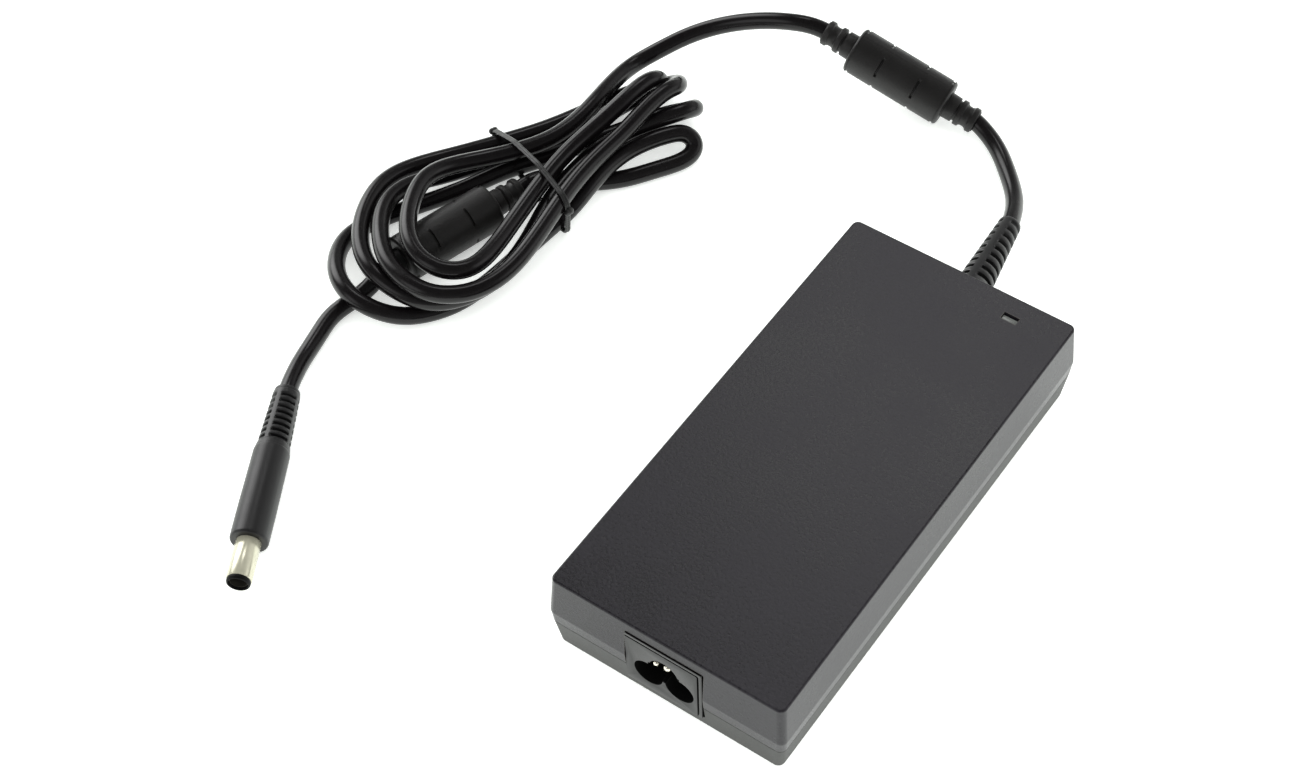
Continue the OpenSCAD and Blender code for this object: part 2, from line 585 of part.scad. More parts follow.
// Moulded cover centred on its origin, with a sleeve at each end and shallow slots;
// far_sleeve is the length of the sleeve at the +Z end
module ferrite_cover(slot_turn, far_sleeve) color(moulding_black) difference() {
    sleeves = [far_sleeve, sleeve_l];
    chamfer = 1;
    union() {
        up(-ferrite_l / 2) {
            cylinder(h = chamfer, r1 = ferrite_r - chamfer, r2 = ferrite_r, $fn = 64);
            up(chamfer) cylinder(h = ferrite_l - 2 * chamfer, r = ferrite_r, $fn = 64);
            up(ferrite_l - chamfer)
                cylinder(h = chamfer, r1 = ferrite_r, r2 = ferrite_r - chamfer, $fn = 64);
        }
        for (m = [0, 1]) mirror([0, 0, m]) up(ferrite_l / 2) sleeve(sleeves[m]);
    }
    up(-ferrite_l) cylinder(h = 2 * ferrite_l, r = bore_r, $fn = 48);
    // bell mouths where the cable leaves the sleeves
    for (m = [0, 1]) mirror([0, 0, m]) up(ferrite_l / 2 + sleeves[m] - 3)
        cylinder(h = 3.2, r1 = bore_r, r2 = bore_r + 0.4, $fn = 48);
    up(-ferrite_core_l / 2) cylinder(h = ferrite_core_l, r = ferrite_core_r, $fn = 64);
    for (row = slot_rows) for (z = [-row[0], row[0]]) for (a = row[1])
        rotate([0, 0, a + slot_turn]) box([ferrite_r - 0.8, -3.4, z - 0.35], [2, 6.8, 0.7]);
}
module ferrite_core() color(ferrite_grey) difference() {
    up(-ferrite_core_l / 2) cylinder(h = ferrite_core_l, r = ferrite_core_r, $fn = 64);
    up(-ferrite_core_l / 2 - 1) cylinder(h = ferrite_core_l + 2, r = bore_r, $fn = 48);
}
module ferrite_cover_1() along(ferrite_1_mid, ferrite_1_dir)
    ferrite_cover(slot_turn = 130.5, far_sleeve = sleeve_l);
module ferrite_core_1() along(ferrite_1_mid, ferrite_1_dir) ferrite_core();
module ferrite_cover_2() along(ferrite_2_mid, ferrite_2_dir)
    ferrite_cover(slot_turn = 143.8, far_sleeve = short_sleeve_l);
module ferrite_core_2() along(ferrite_2_mid, ferrite_2_dir) ferrite_core();

// ---------- plug ----------
// Distances are measured along the plug from the start of its bend relief
grip_end = plug_relief_l + grip_l;
barrel_start = grip_end - 12; // the barrel's root sits inside the grip
wire_start = 12.5;
rib_pitch = 2.21;
rib_strip = 0.7; // half width of the four strips that join the ribs
// Grip sections: [start, length, start radius, end radius]
grip_rows = [
    [0, 1.9, 4.95, grip_r - 0.45],
    [1.9, 0.8, grip_r - 0.45, grip_r - 0.25],
    [2.7, grip_l - 3.3, grip_r - 0.25, grip_r],
    [grip_l - 0.6, 0.6, grip_r, grip_r - 0.4]];

module at_plug(t) along(plug_start + t * plug_dir, plug_dir) children();
module plug_bend_relief() color(moulding_black) at_plug(0) difference() {
    l = plug_relief_l - 0.1;
    cylinder(h = l, r1 = 3.95, r2 = 4.85, $fn = 64);
    for (k = [0:7]) for (q = [0:3]) rotate([0, 0, 18 + q * 90])
        box([rib_strip, rib_strip, 3.2 + k * rib_pitch], [8, 8, 1.05]);
    up(-1) cylinder(h = l + 2, r = bore_r, $fn = 48);
}
module plug_grip() color([0.09, 0.09, 0.09]) at_plug(plug_relief_l) difference() {
    union() for (row = grip_rows)
        up(row[0]) cylinder(h = row[1], r1 = row[2], r2 = row[3], $fn = 64);
    up(grip_l - 12.1) cylinder(h = 13, r = barrel_r - 0.2, $fn = 64);
    up(-1) cylinder(h = grip_l - 10.5, r = 1.7, $fn = 32);
}
// Two conductors from the jacket end to the contacts
module plug_wires() color(bare_metal) for (x = [-0.8, 0.8]) at_plug(wire_start)
    translate([x, 0, 0]) cylinder(h = grip_end - 12.2 - wire_start, r = 0.7, $fn = 24);
module plug_barrel() color(plug_metal) at_plug(barrel_start) difference() {
    union() {
        cylinder(h = 12.05, r = barrel_r - 0.25, $fn = 64);
        up(12.02) cylinder(h = barrel_l, r = barrel_r, $fn = 64);
    }
    up(-1) cylinder(h = 15 + barrel_l, r = 3.2, $fn = 64);
}
module plug_insulator() color([0.06, 0.06, 0.06]) at_plug(barrel_start) difference() {
    union() {
        cylinder(h = 12.1 + barrel_l, r = 3.17, $fn = 64);
        // chamfered rim beyond the barrel
        up(12.05 + barrel_l) cylinder(h = 0.8, r = 3.5, $fn = 64);
        up(12.85 + barrel_l) cylinder(h = 0.6, r1 = 3.5, r2 = 3.1, $fn = 64);
    }
    up(9.95) cylinder(h = 20, r = 2.8, $fn = 64);
    up(-1) cylinder(h = 20, r = 0.35, $fn = 24);
}
module plug_inner_contact() color(plug_metal) at_plug(grip_end - 2) difference() {
    cylinder(h = barrel_l + 2.6, r = 2.77, $fn = 64);
    up(-1) cylinder(h = barrel_l + 6, r = 2.5, $fn = 64);
}
module plug_centre_pin() color(plug_metal) at_plug(grip_end - 11)
    cylinder(h = 9 + barrel_l, r = 0.3, $fn = 24);

// ---------- tie around the coil ----------
tie_w = 2;
tie_gap = 0.6; // from the outer cables to the inside of the band
tie_t = 0.7;
// Cable centres the band wraps, [across the coil, height]
tie_rim = [[-22.2, 4.1], [-15.3, 4.1], [-10.3, 10.3], [4.7, 14.4], [19.6, 15],
    [18.4, 4.9], [3.4, 4.6]];
module tie_outline(r) hull() for (centre = tie_rim) translate(centre) circle(r = r, $fn = 28);
module cable_tie() color(cable_black)
    translate([coil_origin[0], coil_origin[1], 0]) rotate([0, 0, coil_dir - 90])
        rotate([90, 0, 0]) up(-tie_w / 2) linear_extrude(height = tie_w) difference() {
            tie_outline(cable_r + tie_gap + tie_t);
            tie_outline(cable_r + tie_gap);
        }

top_shell();
bottom_shell();
underside_label();
led_lens();
led_lamp();
inlet_housing();
inlet_live_pin();
inlet_neutral_pin();
inlet_earth_pin();
inlet_wires();
main_pcb();
lower_insulation_sheet();
upper_insulation_sheet();
lower_heat_spreader();
upper_heat_spreader();
primary_heatsink();
secondary_heatsink();
heatsink_screws();
transformer_core();
transformer_bobbin();
transformer_winding();
pfc_choke_core();
pfc_choke_winding();
common_mode_choke_core();
common_mode_choke_winding();
bulk_capacitors();
output_capacitors();
x_capacitor();
y_capacitors();
bridge_rectifier();
power_transistors();
output_rectifiers();
fuse();
varistor();
thermistor();
optocouplers();
control_chips();
output_wires();
output_bend_relief();
lead_cable();
ferrite_cover_1();
ferrite_core_1();
flex_cable();
coil_cable();
ferrite_cover_2();
ferrite_core_2();
plug_bend_relief();
plug_grip();
plug_wires();
plug_barrel();
plug_insulator();
plug_inner_contact();
plug_centre_pin();
cable_tie();
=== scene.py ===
# A mains power adapter with its output cable coiled beside it, lying on the floor at z = 0.
# The case is long in Y: the mains inlet is in its -Y end and the cable leaves its +Y end. The
# cable turns to -X through a moulded ferrite, runs round a tied coil, then through a second
# ferrite to a barrel plug. Lengths are in millimetres; meshes are scaled to metres when built.
import json
import math
import bpy
import bmesh
import numpy as np
from mathutils import Vector, Matrix


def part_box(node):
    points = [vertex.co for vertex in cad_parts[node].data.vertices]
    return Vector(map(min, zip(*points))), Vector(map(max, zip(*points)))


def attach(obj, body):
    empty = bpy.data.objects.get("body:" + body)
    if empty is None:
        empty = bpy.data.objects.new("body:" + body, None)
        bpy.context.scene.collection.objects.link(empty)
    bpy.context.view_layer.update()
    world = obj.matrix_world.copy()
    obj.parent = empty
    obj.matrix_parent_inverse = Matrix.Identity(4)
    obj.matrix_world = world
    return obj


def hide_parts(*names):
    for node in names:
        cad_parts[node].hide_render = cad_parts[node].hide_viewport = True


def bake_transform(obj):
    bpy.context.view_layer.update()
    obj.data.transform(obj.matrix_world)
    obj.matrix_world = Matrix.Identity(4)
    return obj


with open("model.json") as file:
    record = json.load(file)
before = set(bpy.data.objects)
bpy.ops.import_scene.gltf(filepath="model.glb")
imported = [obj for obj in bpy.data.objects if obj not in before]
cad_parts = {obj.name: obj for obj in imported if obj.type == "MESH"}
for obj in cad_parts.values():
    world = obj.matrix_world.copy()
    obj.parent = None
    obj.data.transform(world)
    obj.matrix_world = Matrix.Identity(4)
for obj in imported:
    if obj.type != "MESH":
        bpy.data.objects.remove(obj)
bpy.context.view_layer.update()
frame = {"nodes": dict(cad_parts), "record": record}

MM = 0.001
PER_METRE = 1000.0

# ---- places and sizes shared by several pieces
CABLE_R = 2.8
RELIEF_START = np.array([0.4, 77.5, 15.0])      # output relief, at the case's +Y end
RELIEF_LENGTH = 39.0
FERRITE_LENGTH, SLEEVE_LENGTH, SHORT_SLEEVE_LENGTH = 34.5, 11.0, 5.0
PLUG_START = np.array([-150.95, -54.75, 5.65])  # cable end of the plug's relief
PLUG_RELIEF_LENGTH = 20.2
GRIP_LENGTH, GRIP_R = 33.6, 5.65
BARREL_LENGTH, BARREL_R = 12.8, 3.7


# ============================================================ small helpers
def box_mm(node):
    low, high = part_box(node)
    return np.array(low) / MM, np.array(high) / MM


def unit(vector):
    vector = np.array(vector, float)
    return vector / np.linalg.norm(vector)


def smoothstep(t):
    t = min(1.0, max(0.0, t))
    return t * t * (3 - 2 * t)


def wrapped(angle, period=2 * math.pi):
    """The angle brought to within half a period of zero."""
    return (angle + period / 2) % period - period / 2


RELIEF_AXIS = unit([-5.9, 37.6, -4.9])
PLUG_AXIS = unit([0.475, -0.88, 0])
COIL_ANGLE = math.radians(65.6)
COIL_AXIS = np.array([math.cos(COIL_ANGLE), math.sin(COIL_ANGLE), 0.0])
COIL_ORIGIN = (-140.5, 52.5)


def coil_point(q):
    """Turns the coil's own (along, across, height) into frame coordinates."""
    c, s = math.cos(COIL_ANGLE), math.sin(COIL_ANGLE)
    return np.array([COIL_ORIGIN[0] + q[0] * c + q[1] * s,
                     COIL_ORIGIN[1] + q[0] * s - q[1] * c, q[2]])


def register(obj, body=None, node=None):
    """Hides the CAD node that a piece stands for, and hangs the piece on the empty of the body it
    rides.
    """
    if node:
        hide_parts(node)
    if body:
        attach(obj, body)


# ============================================================ mesh helpers
def shade(mesh, sharp):
    """Flat shading if sharp is None, otherwise smooth up to that angle in degrees."""
    for polygon in mesh.polygons:
        polygon.use_smooth = sharp is not None
    if sharp is not None:
        mesh.set_sharp_from_angle(angle=math.radians(sharp))


def mesh_object(name, verts, faces, material=None, sharp=None):
    mesh = bpy.data.meshes.new(name)
    mesh.from_pydata([tuple(float(c) * MM for c in v) for v in verts], [], faces)
    mesh.validate()
    obj = bpy.data.objects.new(name, mesh)
    bpy.context.scene.collection.objects.link(obj)
    if material is not None:
        mesh.materials.append(MATERIALS[material])
    bm = bmesh.new()
    bm.from_mesh(mesh)
    bmesh.ops.recalc_face_normals(bm, faces=bm.faces)
    bm.to_mesh(mesh)
    bm.free()
    shade(mesh, sharp)
    return obj


def apply_modifiers(obj):
    depsgraph = bpy.context.evaluated_depsgraph_get()
    depsgraph.update()
    mesh = bpy.data.meshes.new_from_object(obj.evaluated_get(depsgraph))
    old = obj.data
    obj.modifiers.clear()
    obj.data = mesh
    mesh.name = old.name


def boolean(obj, operation, tools):
    """Applies each tool to obj in turn and deletes the tools."""
    for tool in tools:
        modifier = obj.modifiers.new("boolean", "BOOLEAN")
        modifier.operation = operation
        modifier.solver = "EXACT"
        modifier.object = tool
    apply_modifiers(obj)
    for tool in tools:
        bpy.data.objects.remove(tool)
    return obj


def soften(obj, width, angle):
    """Bevels the edges turning by more than angle degrees."""
    modifier = obj.modifiers.new("edge", "BEVEL")
    modifier.width = width * MM
    modifier.segments = 2
    modifier.limit_method = "ANGLE"
    modifier.angle_limit = math.radians(angle)
    modifier.harden_normals = False
    apply_modifiers(obj)
    shade(obj.data, 50)


def band(a, b, n):
    """Quads between two closed rings of n vertices that start at indices a and b."""
    return [[a + k, a + (k + 1) % n, b + (k + 1) % n, b + k] for k in range(n)]


def cap(start, n):
    return list(range(start, start + n))


def rounded_outline(x0, x1, y0, y1, r, steps=6):
    centres = ((x1 - r, y1 - r), (x0 + r, y1 - r), (x0 + r, y0 + r), (x1 - r, y0 + r))
    points = []
    for quarter, (cx, cy) in enumerate(centres):
        for k in range(steps + 1):
            a = math.radians(90 * quarter + 90 * k / steps)
            points.append((cx + r * math.cos(a), cy + r * math.sin(a)))
    return points


def upright(x, y, z):
    return np.array([x, y, z])


def along_y(x, y, z):
    """Stands an outline in the XZ plane and extrudes it along Y."""
    return np.array([x, z, y])


def prism(name, outline, span, place, material=None):
    """Extrudes an outline over span; place maps its local (x, y, z) into the frame."""
    n = len(outline)
    verts = [place(x, y, z) for z in span for x, y in outline]
    return mesh_object(name, verts, [cap(0, n)[::-1], cap(n, n)] + band(0, n, n), material)


def axes_along(direction):
    """The CAD's placing: Z along direction, X turned down from the vertical plane through it."""
    z = unit(direction)
    tilt = math.acos(z[2])
    turn = math.atan2(z[1], z[0])
    x = np.array([math.cos(tilt) * math.cos(turn), math.cos(tilt) * math.sin(turn),
                  -math.sin(tilt)])
    y = np.array([-math.sin(turn), math.cos(turn), 0.0])
    return x, y, z


def revolve(name, profile, origin, axis, material=None, n=64, shape=None, sharp=40, bore=None):
    """Closed solid of revolution. profile is [(t, r), ...] along the axis on the outside, and
    bore the same on the inside (None is solid). shape(t, angle, r) may alter the outside."""
    x_axis, y_axis, z_axis = axes_along(axis)
    origin = np.array(origin, float)
    verts, faces = [], []

    def ring(t, r, shape):
        start = len(verts)
        for k in range(n):
            a = 2 * math.pi * k / n
            rr = shape(t, a, r) if shape else r
            verts.append(origin + t * z_axis + rr * (math.cos(a) * x_axis + math.sin(a) * y_axis))
        return start

    outer = [ring(t, r, shape) for t, r in profile]
    for a, b in zip(outer, outer[1:]):
        faces += band(a, b, n)
    if bore is None:
        faces += [cap(outer[0], n)[::-1], cap(outer[-1], n)]
    else:
        inner = [ring(t, r, None) for t, r in bore]
        for a, b in zip(inner, inner[1:]):
            faces += band(b, a, n)
        faces += band(inner[0], outer[0], n) + band(outer[-1], inner[-1], n)
    return mesh_object(name, verts, faces, material, sharp)


def fillet_profile(rows, r, steps=4):
    """Rounds every corner of a (t, r) profile between its two ends."""
    out = [rows[0]]
    for a, b, c in zip(rows, rows[1:], rows[2:]):
        a, b, c = (np.array(q, float) for q in (a, b, c))
        before, after = np.linalg.norm(a - b), np.linalg.norm(c - b)
        reach = min(r, 0.45 * before, 0.45 * after)
        if reach < 1e-4:
            out.append(tuple(b))
            continue
        start, end = b + (a - b) / before * reach, b + (c - b) / after * reach
        for i in range(steps + 1):
            t = i / steps
            out.append(tuple((1 - t) ** 2 * start + 2 * t * (1 - t) * b + t * t * end))
    out.append(rows[-1])
    return out


def sweep(name, points, radius, material, n):
    """Round tube along points, its cross-section carried without twist."""
    tangents = np.zeros_like(points)
    tangents[1:-1] = points[2:] - points[:-2]
    tangents[0], tangents[-1] = points[1] - points[0], points[-1] - points[-2]
    tangents /= np.linalg.norm(tangents, axis=1)[:, None]
    side = np.array([0, 0.1, 1.0])
    verts, faces = [], []
    for point, tangent in zip(points, tangents):
        side = side - (side @ tangent) * tangent
        side /= np.linalg.norm(side)
        other = np.cross(tangent, side)
        for k in range(n):
            a = 2 * math.pi * k / n
            verts.append(point + radius * (math.cos(a) * side + math.sin(a) * other))
    last = (len(points) - 1) * n
    for start in range(0, last, n):
        faces += band(start, start + n, n)
    faces += [cap(0, n)[::-1], cap(last, n)]
    return mesh_object(name, verts, faces, material, sharp=60)


# ============================================================ shader helpers
def is_socket(value):
    return isinstance(value, bpy.types.NodeSocket)


class Graph:
    """A cleared node tree with short ways to add linked nodes."""

    def __init__(self, tree):
        self.tree = tree
        for node in list(tree.nodes):
            tree.nodes.remove(node)

    def add(self, kind):
        return self.tree.nodes.new("ShaderNode" + kind)

    def feed(self, socket, value):
        """Links an output to the socket, or sets the socket's value."""
        if is_socket(value):
            self.tree.links.new(value, socket)
        else:
            socket.default_value = value

    def noise(self, coordinate, size, detail, roughness, dimensions="3D"):
        node = self.add("TexNoise")
        node.noise_dimensions = dimensions
        node.inputs["Scale"].default_value = PER_METRE / size
        node.inputs["Detail"].default_value = detail
        node.inputs["Roughness"].default_value = roughness
        self.feed(node.inputs["W" if dimensions == "1D" else "Vector"], coordinate)
        return node.outputs["Fac"]

    def remap(self, value, source, target=(0, 1), interpolation="LINEAR"):
        node = self.add("MapRange")
        node.interpolation_type = interpolation
        names = ("From Min", "From Max", "To Min", "To Max")
        for name, limit in zip(names, (*source, *target)):
            node.inputs[name].default_value = limit
        self.feed(node.inputs["Value"], value)
        return node.outputs["Result"]

    def mix(self, factor, *colors):
        node = self.add("Mix")
        node.data_type = "RGBA"
        self.feed(node.inputs[0], factor)
        for i, color in zip((6, 7), colors):
            self.feed(node.inputs[i], color if is_socket(color) else (*color, 1))
        return node.outputs[2]

    def math(self, operation, *values):
        node = self.add("Math")
        node.operation = operation
        for i, value in enumerate(values):
            self.feed(node.inputs[i], value)
        return node.outputs[0]

    def dot(self, vector, direction):
        node = self.add("VectorMath")
        node.operation = "DOT_PRODUCT"
        self.feed(node.inputs[0], vector)
        self.feed(node.inputs[1], direction if is_socket(direction) else tuple(unit(direction)))
        return node.outputs["Value"]

    def bump(self, height, strength, distance, normal=None):
        node = self.add("Bump")
        node.inputs["Strength"].default_value = strength
        node.inputs["Distance"].default_value = distance * MM
        self.feed(node.inputs["Height"], height)
        if normal is not None:
            self.feed(node.inputs["Normal"], normal)
        return node.outputs["Normal"]

    def edge_mask(self, radius):
        """High on edges: how far the rounded normal turns from the face's own."""
        bevel = self.add("Bevel")
        bevel.samples = 4
        bevel.inputs["Radius"].default_value = radius * MM
        geometry = self.add("NewGeometry")
        facing = self.dot(bevel.outputs[0], geometry.outputs["Normal"])
        return self.remap(self.math("SUBTRACT", 1.0, facing), source=(0.02, 0.25))


# ============================================================ materials
MATERIALS = {}


def new_material(name):
    """Registers a material; returns its graph, Principled inputs and object coordinates."""
    material = bpy.data.materials.new(name)
    material.use_nodes = True
    graph = Graph(material.node_tree)
    output = graph.add("OutputMaterial")
    bsdf = graph.add("BsdfPrincipled")
    graph.feed(output.inputs["Surface"], bsdf.outputs["BSDF"])
    MATERIALS[name] = material
    return graph, bsdf.inputs, graph.add("TexCoord").outputs["Object"]


def plastic(name, base, rough, grain=0.5, strength=0.25, depth=0.05, vary=0.18, edge=0.0,
            edge_color=None, spec=0.5, leather=0.0, patch=14.0, coat=0.0):
    """Grained non-metal. grain and patch are the sizes of the fine and broad mottling,
    strength and depth its relief, vary the colour's spread, edge the wear on the edges,
    leather the strength of a cellular texture, spec and coat the shine."""
    graph, inputs, coordinate = new_material(name)
    fine = graph.noise(coordinate, grain, detail=3.0, roughness=0.6)
    broad = graph.noise(coordinate, patch, detail=4.0, roughness=0.55)
    mottle = graph.math("ADD", graph.math("MULTIPLY", fine, 0.55),
                        graph.math("MULTIPLY", broad, 0.45))
    dark = tuple(c * (1 - vary) for c in base)
    light = tuple(min(1, c * (1 + vary)) for c in base)
    color = graph.mix(graph.remap(mottle, source=(0.35, 0.65)), dark, light)
    roughness = graph.remap(mottle, source=(0.3, 0.7), target=(rough - 0.07, rough + 0.07))
    if edge > 0:
        mask = graph.edge_mask(radius=0.5)
        scuffs = graph.noise(coordinate, size=1.7, detail=4.0, roughness=0.7)
        wear = graph.math("MULTIPLY", mask,
                          graph.remap(scuffs, source=(0.35, 0.7), target=(0.25, 1)))
        worn = edge_color or tuple(min(1, c * 2.2 + 0.02) for c in base)
        color = graph.mix(graph.math("MULTIPLY", wear, edge), color, worn)
    normal = graph.bump(fine, strength, depth)
    if leather > 0:
        cells = graph.add("TexVoronoi")
        cells.feature = "DISTANCE_TO_EDGE"
        cells.inputs["Scale"].default_value = PER_METRE / 0.9
        graph.feed(cells.inputs["Vector"], coordinate)
        height = graph.remap(cells.outputs["Distance"], source=(0.0, 0.25))
        normal = graph.bump(height, leather, distance=0.06, normal=normal)
    graph.feed(inputs["Base Color"], color)
    graph.feed(inputs["Roughness"], roughness)
    graph.feed(inputs["Specular IOR Level"], spec)
    graph.feed(inputs["Coat Weight"], coat)
    graph.feed(inputs["Normal"], normal)


def metal(name, base, rough, line=None, axis=None, strength=0.12, metallic=1.0):
    """Smeared metal, with lines of the given size across axis, or a fine grain without."""
    graph, inputs, coordinate = new_material(name)
    if line:
        height = graph.noise(graph.dot(coordinate, axis), line, detail=2.0, roughness=0.6,
                             dimensions="1D")
    else:
        height = graph.noise(coordinate, size=0.4, detail=3.0, roughness=0.6)
    smear = graph.noise(coordinate, size=3.0, detail=4.0, roughness=0.6)
    dull = tuple(c * (1 - 0.08) for c in base)
    color = graph.mix(graph.remap(smear, source=(0.35, 0.65)), dull, base)
    graph.feed(inputs["Base Color"], color)
    graph.feed(inputs["Roughness"],
               graph.remap(smear, source=(0.3, 0.7), target=(rough - 0.04, rough + 0.08)))
    graph.feed(inputs["Metallic"], metallic)
    graph.feed(inputs["Normal"], graph.bump(height, strength, distance=0.01))


def cord(name, base, rough, axis, strand):
    """Braided elastic: crossing diagonal ridges, one every strand; the valleys between them are
    painted darker as shade.
    """
    graph, inputs, coordinate = new_material(name)
    ridges = []
    for tilt in (0.9, -0.9):
        distance = graph.dot(coordinate, axis + tilt * np.array([0, 0, 1.0]))
        phase = graph.math("MULTIPLY", distance, 2 * math.pi * PER_METRE / strand)
        ridges.append(graph.math("SINE", phase))
    height = graph.math("MULTIPLY", graph.math("MAXIMUM", *ridges), 0.5)
    fine = graph.noise(coordinate, size=0.25, detail=3.0, roughness=0.6)
    # painted shade: the colour darkens towards the bottom of each valley between the ridges
    valley_painted_shade = tuple(c * 0.6 for c in base)
    graph.feed(inputs["Base Color"],
               graph.mix(graph.remap(height, source=(-0.4, 0.5)), valley_painted_shade, base))
    graph.feed(inputs["Roughness"],
               graph.remap(fine, source=(0.3, 0.7), target=(rough - 0.08, rough + 0.08)))
    graph.feed(inputs["Normal"], graph.bump(height, strength=0.5, distance=0.08))


plastic("case_top", base=(0.0116, 0.0104, 0.0134), rough=0.29, grain=1.0, strength=1.0,
        depth=0.035, vary=0.55, spec=0.31, edge=0.8, edge_color=(0.13, 0.12, 0.1), patch=38)
plastic("case_bottom", base=(0.021, 0.0216, 0.0197), rough=0.5, strength=0.45, vary=0.14,
        edge=0.3, patch=30)
plastic("blank_label", base=(0.03, 0.03, 0.032), rough=0.36, grain=0.3, strength=0.1,
        depth=0.02, vary=0.08)
plastic("light_pipe", base=(0.11, 0.115, 0.11), rough=0.25, grain=1.4, strength=0.1,
        depth=0.03, vary=0.1, coat=0.3)
plastic("lamp_body", base=(0.85, 0.85, 0.78), rough=0.2, grain=1.0, strength=0.08,
        depth=0.02, vary=0.05)
plastic("inlet_shadow", base=(0.0012, 0.0012, 0.0012), rough=0.75, strength=0.2,
        depth=0.03, spec=0.08)
plastic("inlet_plastic", base=(0.011, 0.011, 0.011), rough=0.4, grain=0.4, depth=0.04, edge=0.25)
metal("contact_metal", base=(0.86, 0.82, 0.7), rough=0.2)
plastic("wire_insulation", base=(0.12, 0.12, 0.14), rough=0.35, grain=1.0, strength=0.1,
        depth=0.02)
plastic("board", base=(0.05, 0.2, 0.1), rough=0.4, grain=0.8, strength=0.2, depth=0.03,
        edge=0.4, edge_color=(0.5, 0.45, 0.25))
plastic("insulation_film", base=(0.75, 0.72, 0.62), rough=0.42, grain=1.2, strength=0.1,
        depth=0.02, vary=0.05)
metal("spreader_metal", base=(0.75, 0.76, 0.78), rough=0.34, line=0.12, axis=(1, 0, 0))
metal("heatsink_metal", base=(0.72, 0.73, 0.75), rough=0.36, line=0.12, axis=(0, 1, 0))
metal("screw_steel", base=(0.66, 0.66, 0.67), rough=0.28)
plastic("ferrite", base=(0.1, 0.1, 0.105), rough=0.6, grain=0.4, strength=0.5, edge=0.3)
plastic("bobbin_plastic", base=(0.03, 0.03, 0.03), rough=0.45, grain=0.6)
plastic("winding_tape", base=(0.75, 0.6, 0.12), rough=0.3, grain=1.5, strength=0.15, depth=0.03)
metal("copper_wire", base=(0.74, 0.38, 0.17), rough=0.26, line=0.7, axis=(1, 0, 0), strength=0.6)
plastic("toroid_coating", base=(0.06, 0.2, 0.12), rough=0.45, strength=0.4, depth=0.04)
plastic("capacitor_sleeve", base=(0.03, 0.035, 0.06), rough=0.28, grain=2.0, strength=0.1,
        depth=0.03)
plastic("film_capacitor", base=(0.6, 0.55, 0.15), rough=0.42, grain=0.7, edge=0.2)
plastic("ceramic_disc", base=(0.08, 0.2, 0.45), rough=0.35, grain=1.0)
plastic("dark_ceramic", base=(0.06, 0.07, 0.06), rough=0.4, grain=0.8)
plastic("chip_epoxy", base=(0.02, 0.02, 0.02), rough=0.5, grain=0.25, strength=0.3,
        depth=0.03, edge=0.2)
plastic("fuse_body", base=(0.8, 0.82, 0.8), rough=0.15, grain=2.0, strength=0.05,
        depth=0.01, vary=0.04, coat=0.4)
plastic("optocoupler_body", base=(0.82, 0.82, 0.79), rough=0.45, grain=0.4, edge=0.1)
plastic("relief_rubber", base=(0.006, 0.006, 0.0062), rough=0.4, strength=0.3, depth=0.04,
        edge=0.35)
plastic("cable_jacket", base=(0.003, 0.0024, 0.0027), rough=0.22, grain=1.5, strength=0.03,
        depth=0.01, vary=0.15, patch=26, spec=0.32)
plastic("overmould", base=(0.0042, 0.0036, 0.0034), rough=0.45, grain=0.45, strength=0.35,
        leather=0.3, edge=0.2, patch=6, spec=0.42)
plastic("plug_plastic", base=(0.0064, 0.0062, 0.0065), rough=0.4, spec=0.44, grain=0.4,
        strength=0.35, depth=0.045, edge=0.3, patch=8)
metal("barrel_nickel", base=(0.6, 0.58, 0.455), rough=0.2, line=0.16, axis=PLUG_AXIS,
      strength=0.18, metallic=0.55)
# painted shade: the inner contact and the centre pin are nickel like the barrel, and this dark metal
# paints the shade inside the plug's tip onto them
metal("inner_contact", base=(0.09, 0.085, 0.07), rough=0.32, line=0.2, axis=PLUG_AXIS,
      strength=0.15, metallic=0.8)
plastic("tip_insulator", base=(0.0015, 0.0015, 0.0015), rough=0.5, grain=0.8, strength=0.08,
        depth=0.02, spec=0.15)
cord("tie_elastic", base=(0.007, 0.007, 0.007), rough=0.42, axis=COIL_AXIS, strand=0.7)

# the CAD's own pieces take their slot's material
for subpart in frame["record"]["subparts"]:
    if subpart["node"] in frame["nodes"]:
        node = frame["nodes"][subpart["node"]]
        material = MATERIALS[subpart["material_slot"]]
        if node.material_slots:
            for slot in node.material_slots:
                slot.material = material
        else:
            node.data.materials.append(material)

# ============================================================ cable
# The route is a design table shared with the CAD.
FERRITE_REACH = FERRITE_LENGTH / 2 + SLEEVE_LENGTH
FERRITE_1, FERRITE_1_AXIS = np.array([-65.3, 149.2, 12.6]), unit([-0.962, -0.083, 0.26])
FERRITE_2 = coil_point([-33.9, 6.2, 7.7])
FERRITE_2_AXIS = unit(coil_point([-50, 8.5, 0]) - coil_point([-11, 3, 0]))


def on_line(start, axis, distances):
    return [start + t * axis for t in distances]


# from the case through the first ferrite (x, y, z)
LEAD_RUN = (
    on_line(RELIEF_START, RELIEF_AXIS, (4.5, 13, 22, 31, 38.5))
    + [[-9.2, 125.2, 7], [-14.2, 133.3, 4.7], [-21, 141, 3.5], [-29.2, 147.9, 3.7]]
    + on_line(FERRITE_1, FERRITE_1_AXIS, (-FERRITE_REACH, -FERRITE_REACH + 5, -15, -5, 5, 15,
                                          FERRITE_REACH - 5, FERRITE_REACH)))
# from the first ferrite to the coil (x, y, z)
FLEX_RUN = [
    [-97.3, 145.2, 21.4], [-103.7, 143, 21.3], [-111.6, 140.8, 19.4], [-120, 137.7, 16.6],
    [-127.7, 133.3, 13.6], [-134.2, 127.2, 10.8], [-139.2, 119.4, 8.6], [-143.1, 111, 7]]
